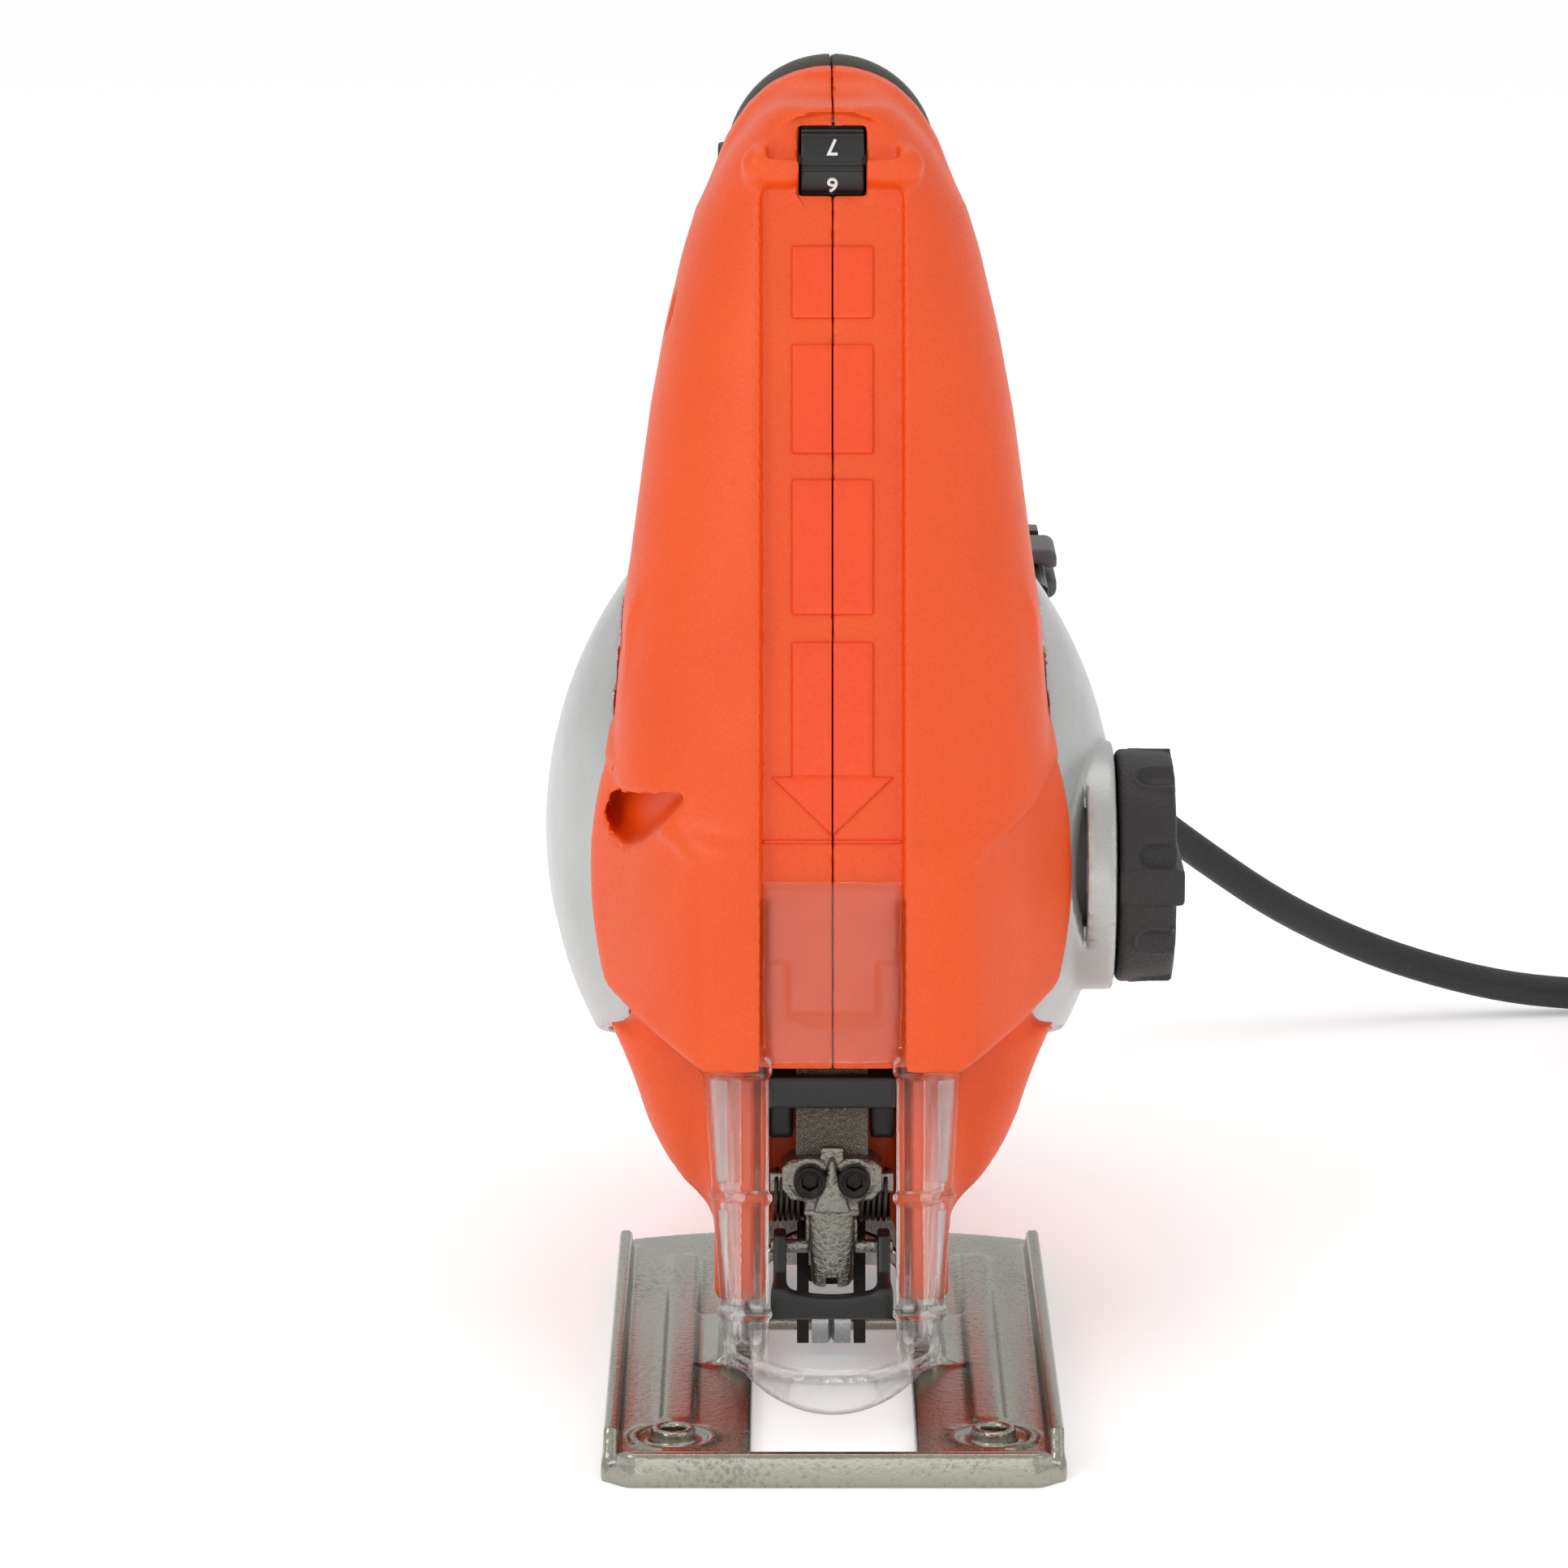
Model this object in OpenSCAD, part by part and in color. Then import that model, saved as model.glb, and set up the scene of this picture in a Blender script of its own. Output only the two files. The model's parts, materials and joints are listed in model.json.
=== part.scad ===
// Jigsaw with a D-shaped handle, orbital action and a tilting foot.
// Millimetres. +Z is up, -Y is the cutting direction (front), +X is the selector side.
// The origin lies on the sole, where the blade's centre line crosses it.

/* [Foot] */
// Width of the foot across its side flanges
foot_w = 74; // [72:0.5:76]
// Distance from the blade line to the foot's front edge
foot_front = 64; // [60:1:68]
// Distance from the blade line to the middle of the foot's rear edge
foot_back = 81; // [78:1:84]
// Thickness of the foot's sheet
foot_t = 2.5; // [2:0.1:2.6]
// Height of the side flanges
flange_h = 8; // [6:0.5:9]
// Half width of the blade opening
slot_half = 13.2; // [12.8:0.1:14]

/* [Body] */
// Angle at which the nose leans back, in degrees
lean = 12; // [11:0.5:12.5]
// Distance from the blade line to the foot of the leaning nose line
nose_front = 30; // [29.5:0.5:31]
// Half width of the channel down the nose
channel_half = 11.75; // [11.5:0.05:12]
// Depth of the channel
channel_depth = 4; // [3.8:0.1:4.2]
// Half width of the flat-sided core under the side covers
core_half = 34; // [33:0.5:35]
// Wall thickness of the moulded shells
wall = 2.6; // [2.2:0.1:3]
// Greatest half width over the domed side covers
dome_half = 49.3; // [48.5:0.1:49.5]
// Height of the handle's crown over the sole, without its rubber
crown_z = 214.7; // [213:0.5:216]
// Thickness of the rubber over the handle
rubber = 2.8; // [2:0.2:3]

/* [Drive] */
// Height of the motor's shaft
motor_z = 93.2; // [93:0.1:93.4]
// Gear module
gear_m = 0.8; // [0.8]
// Teeth on the drive gear
gear_teeth = 60; // [60]
// Teeth on the pinion
pinion_teeth = 8; // [8]
// Stroke of the plunger
stroke = 16; // [14:1:16]
// Half width of the plunger's flat bar
bar_half = 6.1; // [6:0.05:6.2]

/* [Controls] */
// Radius of the orbital selector
knob_r = 20; // [18:0.5:20]
// Radius of the speed dial
dial_r = 9.5; // [9:0.1:9.6]

/* [Cord] */
// Diameter of the mains lead
cord_d = 6.5; // [6:0.1:6.5]
// Mean radius of the stored coil
coil_r = 36; // [36:0.5:38]

/* [Hidden] */
$fn = 48;
slim = 0.01;                                   // overrun of a cut past a face
far = 400;                                     // larger than the whole tool
gear_r = gear_m * gear_teeth / 2;              // pitch radius of the drive gear
pinion_r = gear_m * pinion_teeth / 2;
gear_z = motor_z - gear_r - pinion_r;          // height of the drive gear's axle
gear_y = 13;                                   // front face of the drive gear
gear_w = 9;
plate_y = 24;                                  // front face of the bearing plate
shaft_r = 4;
stator_r = 27;
stator_y = [52, 96];
dome_y = 52;                                   // centre of the side covers
dome_z = 83;
dome_sphere = 73.8;
dome_x = dome_half - dome_sphere;              // centre of the dome's sphere
knob_y = 38;
knob_z = 79;
knob_x = 48.6;                                 // inner face of the selector
dial_y = 22.3;
dial_z = 202.5;
bar_y = 44;                                    // start of the handle's top bar
bar_r = 15;                                    // radius over the top bar
bar_axis = crown_z - bar_r;
bar_slope = 6.3;                               // fall of the top bar to the rear, in degrees
hump_r = 17;                                   // radius of the foot's tilt barrel
hump_y = [30, 70];
opening_y = [48, 131];                         // hand opening of the handle
opening_z = [140, 178];
opening_r = 15;
pivot_y = 22;                                  // pendulum's pivot
pivot_z = 33;
roller_y = 10;
roller_z = 6.2;
bail_z = 22;                                   // pivot of the clamp's bail
key_z = 118;
screw_spots = [[6.5, 95], [20, 122], [62, 126], [112, 124], [146, 118], [30, 176], [146, 172], [84, 40]];
collar_x = 26;
collar_y = -45.5;
coil_rings = 3;
coil_x = 207;
coil_y = 253 - coil_r - cord_d;
coil_half = coil_rings * cord_d / 2;
relief_tip = [0, 200, 101];
relief_root = [0, 156, 110.6];

// The lead's route where it isn't coiled: out of the boot, down and along the table.
cord_route = [
    [0, 200, 101], [3, 212, 97.5], [11, 222, 91], [23, 229, 81.5], [36, 233, 70.5],
    [50, 236, 58], [63, 238, 46], [77, 240, 35], [92, 243, 24.5], [108, 246, 16],
    [124, 249, 9.8], [140, 251.5, 5.6], [156, 253, 3.7], [170, 253, 3.3], [183, 253, 3.3]
];

// ---- helpers ----------------------------------------------------------------

// Children drawn in the leaning frame of the nose: local Y is depth, local Z runs up the nose.
module leaning() {
    translate([0, -nose_front, 0])
        rotate([-lean, 0, 0])
            children();
}

// A cylinder along Y from y0 to y1.
module rod_y(r, y0, y1, x = 0, z = 0) {
    translate([x, y0, z])
        rotate([-90, 0, 0])
            cylinder(r = r, h = y1 - y0);
}

// A cylinder along X from x0 to x1.
module rod_x(r, x0, x1, y = 0, z = 0) {
    translate([x0, y, z])
        rotate([0, 90, 0])
            cylinder(r = r, h = x1 - x0);
}

// A box between two opposite corners.
module span(a, b) {
    translate(a)
        cube(b - a);
}

// A side outline of [y, z] points made solid between x0 and x1.
module side_slab(points, x0, x1) {
    translate([x0, 0, 0])
        rotate([90, 0, 90])
            linear_extrude(x1 - x0)
                polygon(points);
}

// A front outline of [x, z] points made solid between y0 and y1.
module front_slab(points, y0, y1) {
    translate([0, y1, 0])
        rotate([90, 0, 0])
            linear_extrude(y1 - y0)
                polygon(points);
}

// A half outline of [x, z] points, closed by its mirror image.
function both_sides(half) = concat(half, [for (i = [len(half) - 1 : -1 : 0]) [-half[i][0], half[i][1]]]);

function unit(v) = v / norm(v);

// Rings of points around a path, for a tube of radius r.
function ring(p, t, up, r, sides) =
    let (u = unit(cross(t, up)), v = cross(u, t))
        [for (k = [0 : sides - 1]) p + r * (cos(360 * k / sides) * u + sin(360 * k / sides) * v)];

// A round tube swept along a path, never parallel to up.
module swept(path, r, sides, up) {
    n = len(path);
    points = [
        for (i = [0 : n - 1])
            let (t = unit(path[min(i + 1, n - 1)] - path[max(i - 1, 0)]))
                each ring(path[i], t, up, r, sides)
    ];
    walls = [
        for (i = [0 : n - 2])
            for (k = [0 : sides - 1])
                let (a = i * sides + k, b = i * sides + (k + 1) % sides)
                    each [[a, a + sides, b], [b, a + sides, b + sides]]
    ];
    ends = [
        for (k = [1 : sides - 2])
            each [[0, k, k + 1], [(n - 1) * sides, (n - 1) * sides + k + 1, (n - 1) * sides + k]]
    ];
    polyhedron(points, concat(walls, ends), convexity = 8);
}

// A coil spring standing on z = 0.
module coil_spring(r, wire, turns, pitch, step = 30) {
    path = [
        for (a = [0 : step : 360 * turns])
            [r * cos(a), r * sin(a), wire + pitch * a / 360]
    ];
    swept(path, wire, 6, [0, 0, 1]);
}

// ---- housing ----------------------------------------------------------------

// Front column of the handle, shrunk by t.
module column_form(t) {
    half = [
        [36.3 - t, 96 + t], [36.3 - t, 110], [34.6 - t, 129], [30.6 - t, 158.6], [28.1 - t, 172],
        [25 - t, 185], [22.8 - t, 192], [16.9 - t, 203.5 - t / 2], [10 - t / 2, 211 - t],
        [3, crown_z - t]
    ];
    plan = concat(
        [for (a = [-90 : 15 : 90]) [(36.5 - t) * sin(a), t + 25 * (1 - cos(a))]],
        [[36.5 - t, 60], [-36.5 + t, 60]]
    );
    intersection() {
        leaning()
            translate([0, 0, 90])
                linear_extrude(140)
                    polygon(plan);
        front_slab(both_sides(half), -60, opening_y[0] + 8 - t);
    }
}

// Top bar and rear strut of the handle, shrunk by t.
module bar_form(t) {
    side = [
        [bar_y + t, 168], [bar_y + t, 230], [104, 230], [128 - t, 204.5 - t],
        [150 - t, 194.5 - t], [163 - t, 178 - t], [166 - t, 150], [163 - t, 118], [156 - t, 100],
        [118, 100], [118, 168]
    ];
    intersection() {
        translate([0, bar_y, bar_axis])
            rotate([-bar_slope, 0, 0])
                union() {
                    rod_y(bar_r - t, -14, far);
                    span([-bar_r + t, -14, -110], [bar_r - t, far, 0]);
                }
        side_slab(side, -far / 2, far / 2);
    }
}

// Flat-sided core around the motor and the gears, shrunk by t.
module core_form(t) {
    side = [
        [t, 24 + t], [60, 30 + t], [112, 34 + t], [142 - t, 50 + t], [154 - t, 78], [157 - t, 105],
        [154 - t, 134 - t], [4 + t, 134 - t], [-12 + t, 90], [-17 + t, 59.5 + t], [-2 + t, 58 + t],
        [t, 50]
    ];
    half = [
        [19.7 - t, 20], [19.7 - t, 24 + t / 2], [31.7 - t, 37.6 + t / 2], [core_half - t, 42 + t / 2],
        [core_half - t, 118 - t / 2], [31 - t / 2, 127 - t], [24 - t / 2, 136 - t]
    ];
    plan = [
        [channel_half + 6, t], [30 - t, 14], [core_half - t, 24], [core_half - t, 140],
        [26 - t, 200], [-26 + t, 200], [-core_half + t, 140], [-core_half + t, 24], [-30 + t, 14],
        [-channel_half - 6, t]
    ];
    intersection() {
        side_slab(side, -far / 2, far / 2);
        front_slab(both_sides(half), -60, 200);
        leaning()
            linear_extrude(far / 2)
                polygon(plan);
    }
}

// Faceted cheeks either side of the nose, reaching back to the side covers.
module cheek_form(t) {
    plan = [
        [-channel_half - 6, t], [channel_half + 6, t], [23 - t, 2 + t], [31 - t, 13], [43.4 - t, 36 - t],
        [-43.4 + t, 36 - t], [-31 + t, 13], [-23 + t, 2 + t]
    ];
    half = [
        [20 - t, 59 + t], [30 - t, 46 + t], [36 - t, 50 + t], [41 - t, 60], [43.4 - t, 72], [43.4 - t, 98],
        [40 - t, 110 - t], [34 - t, 117 - t]
    ];
    intersection() {
        leaning()
            linear_extrude(far / 2)
                polygon(plan);
        front_slab(both_sides(half), -60, 60);
        side_slab([[-60, 59 + t], [-3, 59 + t], [t, 46], [60, 30], [60, 130], [-60, 130]], -60, 60);
    }
}

module hand_opening(grow = 0) {
    y = [opening_y[0] + opening_r, opening_y[1] - opening_r];
    z = [opening_z[0] + opening_r, opening_z[1] - opening_r];
    for (cy = y)
        for (cz = z)
            rod_x(opening_r + grow, -60, 60, cy, cz);
    span([-60, opening_y[0] - grow, z[0]], [60, opening_y[1] + grow, z[1]]);
    span([-60, y[0], opening_z[0] - grow], [60, y[1], opening_z[1] + grow]);
}

module outer_form(t) {
    column_form(t);
    bar_form(t);
    core_form(t);
    cheek_form(t);
}

// Legs that flank the blade clamp under the belly.
module legs() {
    for (side = [-1, 1])
        front_slab(
            [[side * 11, 50], [side * 11, 14], [side * 12.5, 12], [side * 17.5, 12],
             [side * 19.7, 15], [side * 19.7, 50]],
            0, 12.5
        );
}

// Cross walls that carry the motor, its bearing, the bushes and the switch.
module ribs() {
    span([-60, 56, 60], [60, 59, 128]);
    span([-60, 88, 60], [60, 91, 128]);
    span([-60, 119, 60], [60, 127, 128]);
    span([-60, 24, 44], [60, 34, 128]);
    span([-17, -30, 44], [17, 8, 56]);
    span([-17, -30, 78], [17, 8, 90]);
    for (spot = screw_spots)
        rod_x(4.5, -60, 60, spot[0], spot[1]);
}

// Everything that is cut out of the shell.
module shell_cuts() {
    // motor, bearing and bearing plate seats
    rod_y(stator_r, 49, 99, z = motor_z);
    rod_y(28.5, 34 - slim, 49, z = motor_z);
    rod_y(13, 95, 119, z = motor_z);
    rod_y(9.5, 119 - slim, 126, z = motor_z);
    rod_y(6, 120, 129, z = motor_z);
    span([-27, 24 - slim, 44], [27, 34, 124]);
    // plunger's way and the clamp's room between the legs
    span([-10.9, -60, 5], [10.9, 9, 54]);
    span([-10.9, -5.5, 53], [10.9, 9, 86]);
    span([-6.6, -2.8, 86 - slim], [6.6, 9, 101.5]);
    span([-14.5, 1.8, 50], [14.5, 14, 84]);
    span([-10.9, 8, 5], [10.9, 30, 40]);
    // channel in the nose, and the guard's way behind the cheeks
    leaning()
        span([-channel_half, -20, 0], [channel_half, channel_depth, 197]);
    leaning()
        for (side = [-1, 1])
            scale([side, 1, 1])
                translate([0, 0, 30])
                    linear_extrude(56)
                        polygon([[11, 1.8], [17, 1.8], [22.8, 15], [19.6, 15], [15, 4.4], [11, 4.4]]);
    // dial, trigger and lock button
    rod_x(dial_r + 0.5, -6, 6, dial_y, dial_z);
    span([-6, -10, dial_z - 5.6], [6, dial_y, dial_z + 5.6]);
    span([-6.3, 57.6, 165], [6.3, 86.4, 186]);
    rod_x(4.6, -60, 0, 98, 192);
    // boot, dust port, selector shaft and screws
    rod_between(relief_root, relief_tip, 7);
    rod_y(16.5, 95, 200, z = 52);
    rod_x(8, 20, 60, knob_y, knob_z);
    for (spot = screw_spots) {
        rod_x(1.6, -60, 14, spot[0], spot[1]);
        rod_x(3.4, -60, -10, spot[0], spot[1]);
    }
    // air slots behind the covers
    for (side = [-1, 1])
        for (k = [0 : 4])
            span(
                [min(side * 24, side * 60), 104 + 7 * k, 70],
                [max(side * 24, side * 60), 107 + 7 * k, 108]
            );
}

// A cylinder between two points.
module rod_between(a, b, r) {
    d = b - a;
    translate(a)
        rotate([0, acos(d[2] / norm(d)), atan2(d[1], d[0])])
            cylinder(r = r, h = norm(d));
}

module housing() {
    difference() {
        union() {
            difference() {
                outer_form(0);
                outer_form(wall);
            }
            intersection() {
                outer_form(wall / 2);
                union() {
                    ribs();
                    hand_opening(wall);
                }
            }
            legs();
            leaning()
                intersection() {
                    span([-channel_half - 1, channel_depth - 1, 56], [channel_half + 1, channel_depth + 1.6, 200]);
                    span([-20, 0, 56], [20, 40, 215]);
                }
            leaning()
                rod_x(3.1, -15.5, 15.5, 1.4, 205);
        }
        hand_opening();
        shell_cuts();
    }
}

module housing_left() {
    color("orangered")
        intersection() {
            housing();
            span([-far, -far, -10], [0, far, far]);
        }
}

module housing_right() {
    color("orangered")
        intersection() {
            housing();
            span([0, -far, -10], [far, far, far]);
        }
}

// ---- side covers and rubber ---------------------------------------------------

// A lens whose face follows the cover's sphere, inset by t; its foot lies at x0.
module dome(t, x0) {
    r = dome_sphere - t;
    foot_r = sqrt(r * r - pow(x0 - dome_x, 2));
    profile = [for (k = [0 : 10]) let (p = foot_r * k / 10) [p, dome_x + sqrt(r * r - p * p)]];
    translate([0, dome_y, dome_z])
        rotate([0, 90, 0])
            rotate_extrude($fn = 96)
                polygon(concat([[0, x0]], profile));
}

// One domed cover, on the +X side.
module cover() {
    difference() {
        dome(0, core_half);
        dome(2.4, core_half - 1);
        cheek_form(0);
        column_form(0);
    }
}

module cover_right() {
    color("silver")
        difference() {
            union() {
                cover();
                difference() {
                    rod_x(21, 38, knob_x - 0.4, knob_y, knob_z);
                    rod_x(18.6, 37, knob_x - 2.8, knob_y, knob_z);
                    cheek_form(0);
                }
                rod_x(9, 36, knob_x - 1, knob_y, knob_z);
            }
            rod_x(21.6, knob_x - 0.4, 60, knob_y, knob_z);
            rod_x(shaft_r + 0.05, 20, 60, knob_y, knob_z);
        }
}

module cover_left() {
    color("silver")
        mirror([1, 0, 0])
            cover();
}

module grip() {
    difference() {
        intersection() {
            bar_form(-rubber);
            span([-60, bar_y + 4, 186], [60, 146, far]);
        }
        bar_form(0);
        column_form(0);
        rod_x(5.2, -60, 0, 98, 192);
    }
}

module grip_left() {
    color("dimgray")
        intersection() {
            grip();
            span([-far, -far, 0], [0, far, far]);
        }
}

module grip_right() {
    color("dimgray")
        intersection() {
            grip();
            span([0, -far, 0], [far, far, far]);
        }
}

// ---- blade guard ---------------------------------------------------------------

module blade_guard() {
    color([0.9, 0.95, 1, 0.4])
        union() {
            leaning() {
                span([-11.45, 2.2, 53], [11.45, 3.7, 89]);
                for (side = [-1, 1])
                    scale([side, 1, 1])
                        difference() {
                            translate([0, 0, 9.5])
                                linear_extrude(50.5)
                                    polygon([[11, 2.2], [16.4, 2.2], [21.3, 14], [19.7, 14], [15.4, 3.7], [11, 3.7]]);
                            side_slab([[4.2, 0], [14.5, 58], [60, 58], [60, 0]], 0, 30);
                        }
            }
            difference() {
                translate([0, -22, 7.8])
                    cylinder(r = 16.4, h = 3, $fn = 64);
                translate([0, -22, 0])
                    cylinder(r = 13.2, h = 30, $fn = 64);
                span([-30, -22, 0], [30, 30, 30]);
            }
        }
}

// ---- controls -------------------------------------------------------------------

module speed_dial() {
    color("black")
        difference() {
            rod_x(dial_r, -5.3, 5.3, dial_y, dial_z);
            for (a = [0 : 20 : 340])
                translate([0, dial_y, dial_z])
                    rotate([a, 0, 0])
                        rod_x(0.5, -3, 3, 0, dial_r);
            rod_x(2.05, -10, 10, dial_y, dial_z);
        }
}

module speed_module() {
    color("darkgreen")
        union() {
            rod_x(2, -9, 9, dial_y, dial_z);
            for (side = [-1, 1])
                span(
                    [side > 0 ? 6.6 : -8.6, dial_y - 3, 184],
                    [side > 0 ? 8.6 : -6.6, dial_y + 5, dial_z + 3]
                );
            span([-9, dial_y - 3, 181.5], [9, dial_y + 17, 184 + slim]);
        }
}

module switch_body() {
    color("gray")
        difference() {
            span([-9, 60, 193], [9, 92, 201.5]);
            translate([0, 72, 190])
                cylinder(r = 3.4, h = 8);
        }
}

module trigger() {
    color("black")
        union() {
            side_slab(
                [[58, 187], [58, 175], [61, 171], [70, 169.5], [82, 170], [86, 173], [86, 187]],
                -6, 6
            );
            translate([0, 72, 186])
                cylinder(r = 1.5, h = 5.4);
        }
}

module trigger_spring() {
    color("silver")
        translate([0, 72, 187])
            coil_spring(2.4, 0.35, 5, 2, 40);
}

module lock_button() {
    color("black")
        union() {
            rod_x(4.2, -19.8, -11, 98, 192);
            rod_x(5.2, -11 + slim, -8.6, 98, 192);
        }
}

module orbit_knob() {
    color("black")
        difference() {
            union() {
                rod_x(knob_r, knob_x, 56.5, knob_y, knob_z);
                translate([56.5, knob_y, knob_z])
                    rotate([0, 90, 0])
                        cylinder(r1 = knob_r, r2 = knob_r - 1.6, h = 1.9);
                span([58.4 - slim, knob_y - 19, knob_z - 3.2], [59.8, knob_y + 10, knob_z + 3.2]);
            }
            for (a = [0 : 45 : 315])
                translate([0, knob_y, knob_z])
                    rotate([a + 22, 0, 0])
                        rod_x(3.4, 51, 70, 0, knob_r + 1.4);
            rod_x(shaft_r, knob_x - 1, 54, knob_y, knob_z);
        }
}

module orbit_shaft() {
    color("silver")
        union() {
            rod_x(shaft_r, 26, 54, knob_y, knob_z);
            rod_x(5.5, 28, 31, knob_y, knob_z - 1.2);
        }
}

// ---- motor and gears --------------------------------------------------------------

module armature_shaft() {
    color("lightgray")
        union() {
            rod_y(shaft_r, 23, 118, z = motor_z);
            rod_y(3, 118 - slim, 127, z = motor_z);
            rod_y(2, 12, 23 + slim, z = motor_z);
        }
}

module armature_core() {
    color("darkgoldenrod")
        difference() {
            union() {
                rod_y(16.2, 56, 92, z = motor_z);
                rod_y(13.5, 50.5, 56 + slim, z = motor_z);
                rod_y(13.5, 92 - slim, 98, z = motor_z);
            }
            rod_y(shaft_r, 40, 100, z = motor_z);
            for (a = [0 : 30 : 330])
                translate([0, 0, motor_z])
                    rotate([0, a, 0])
                        span([-0.8, 56 - slim, 14.4], [0.8, 92 + slim, 20]);
        }
}

module commutator() {
    color("peru")
        difference() {
            rod_y(10, 101, 114, z = motor_z);
            rod_y(shaft_r, 90, 120, z = motor_z);
            for (a = [0 : 30 : 330])
                translate([0, 0, motor_z])
                    rotate([0, a + 15, 0])
                        span([-0.3, 100, 9.2], [0.3, 120, 12]);
        }
}

module cooling_fan() {
    color("black")
        difference() {
            union() {
                rod_y(9, 38, 47, z = motor_z);
                rod_y(26.5, 44.8, 47, z = motor_z);
                for (a = [0 : 40 : 320])
                    translate([0, 0, motor_z])
                        rotate([0, a, 0])
                            span([-0.8, 38, 8], [0.8, 45, 26]);
            }
            rod_y(shaft_r, 30, 60, z = motor_z);
        }
}

// Spur gear with straight flanks, its face from y0 to y1.
module spur(teeth, y0, y1, turn = 0) {
    pitch = gear_m * teeth / 2;
    tip = pitch + 0.92 * gear_m;
    root = pitch - 1.12 * gear_m;
    step = 360 / teeth;
    points = [
        for (k = [0 : teeth - 1])
            for (s = [[-0.31, root], [-0.215, pitch], [-0.1, tip], [0.1, tip], [0.215, pitch], [0.31, root]])
                [s[1] * sin((k + s[0]) * step + turn), s[1] * cos((k + s[0]) * step + turn)]
    ];
    translate([0, y1, 0])
        rotate([90, 0, 0])
            linear_extrude(y1 - y0)
                polygon(points);
}

module pinion() {
    color("silver")
        translate([0, 0, motor_z])
            difference() {
                spur(pinion_teeth, 12.5, 23, 180 / pinion_teeth);
                rod_y(2, 10, 24);
            }
}

module drive_gear() {
    color("silver")
        translate([0, 0, gear_z])
            difference() {
                spur(gear_teeth, gear_y, gear_y + gear_w);
                rod_y(3.05, 0, 40);
                for (a = [60 : 60 : 300])
                    rotate([0, a, 0])
                        rod_y(4, 0, 40, x = 14);
            }
}

module crank_roller() {
    color("lightgray")
        rod_y(2.4, 8.6, gear_y, x = stroke / 2, z = gear_z);
}

module gear_axle() {
    color("lightgray")
        rod_y(3, gear_y - 2, 34, z = gear_z);
}

module front_bearing() {
    color("silver")
        difference() {
            rod_y(11, 25.5, 32.5, z = motor_z);
            rod_y(shaft_r + 0.03, 20, 40, z = motor_z);
        }
}

module rear_bearing() {
    color("silver")
        difference() {
            rod_y(9.5, 120, 126, z = motor_z);
            rod_y(3.03, 110, 130, z = motor_z);
        }
}

module bearing_plate() {
    color("gainsboro")
        difference() {
            span([-27, plate_y, 44], [27, 34, 124]);
            rod_y(11, 25.5, 40, z = motor_z);
            rod_y(8, 20, 40, z = motor_z);
            rod_y(3, 20, 40, z = gear_z);
            for (x = [-21, 21])
                rod_y(2.2, 20, 40, x = x, z = 118);
        }
}

module stator_core() {
    color("gray")
        difference() {
            rod_y(stator_r, stator_y[0] + 3, stator_y[1] - 3, z = motor_z);
            rod_y(16.8, 40, 110, z = motor_z);
            for (side = [-1, 1])
                span([-9, 40, motor_z + side * 19 - 3], [9, 110, motor_z + side * 19 + 3]);
        }
}

module field_coils() {
    color("peru")
        for (side = [-1, 1])
            span([-8.8, stator_y[0], motor_z + side * 19.2 - 2.6], [8.8, stator_y[1], motor_z + side * 19.2 + 2.6]);
}

module brush_holders() {
    color("gold")
        for (side = [-1, 1])
            difference() {
                span([side > 0 ? 11 : -26, 103, motor_z - 4.5], [side > 0 ? 26 : -11, 112, motor_z + 4.5]);
                span([side > 0 ? 10 : -24, 104.5, motor_z - 3], [side > 0 ? 24 : -10, 110.5, motor_z + 3]);
            }
}

module carbon_brushes() {
    color("black")
        for (side = [-1, 1])
            span([side > 0 ? 10.1 : -21, 104.5, motor_z - 3], [side > 0 ? 21 : -10.1, 110.5, motor_z + 3]);
}

// ---- plunger and blade clamp --------------------------------------------------------

module plunger() {
    color("gray")
        span([-bar_half, -2.2, 38], [bar_half, 2.2, 93]);
}

module yoke() {
    color("darkgray")
        difference() {
            span([-14, 2.2, gear_z - 4.5], [14, 8, gear_z + 4.5]);
            span([-11, 3.4, gear_z - 2.6], [11, 9, gear_z + 2.6]);
        }
}

module bush(z0, z1) {
    difference() {
        span([-10.9, -5.5, z0], [10.9, 5.5, z1]);
        span([-bar_half - 0.08, -2.28, z0 - 1], [bar_half + 0.08, 2.28, z1 + 1]);
    }
}

module upper_bush() {
    color("black")
        bush(80, 86);
}

module lower_bush() {
    color("black")
        bush(47, 52.6);
}

module clamp_block() {
    color("silver")
        difference() {
            span([-8.4, -4, 30.5], [8.4, 4, 38.5]);
            span([-bar_half, -2.2, 38], [bar_half, 2.2, 40]);
            for (x = [-3.7, 3.7])
                translate([x, -6, 35])
                    rotate([-90, 0, 0])
                        cylinder(r = 1.5, h = 9);
            for (side = [-1, 1])
                rod_x(1.3, side > 0 ? 7 : -9, side > 0 ? 9 : -7, 0, 33.2);
        }
}

module clamp_screws() {
    color("black")
        for (x = [-3.7, 3.7])
            difference() {
                union() {
                    rod_y(2.75, -7, -4, x = x, z = 35);
                    rod_y(1.5, -4 - slim, 2.9, x = x, z = 35);
                }
                translate([x, -5.4, 35])
                    rotate([90, 0, 0])
                        cylinder(r = 1.45, h = 4, $fn = 6);
            }
}

module blade_holder() {
    color("silver")
        difference() {
            span([-3.7, -3, 15.5], [3.7, 3, 30.5]);
            span([-0.8, -4, 10], [0.8, 2.2, 26]);
            for (x = [-5, 5])
                rod_y(2.2, -4, 4, x = x, z = 15.5);
        }
}

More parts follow.
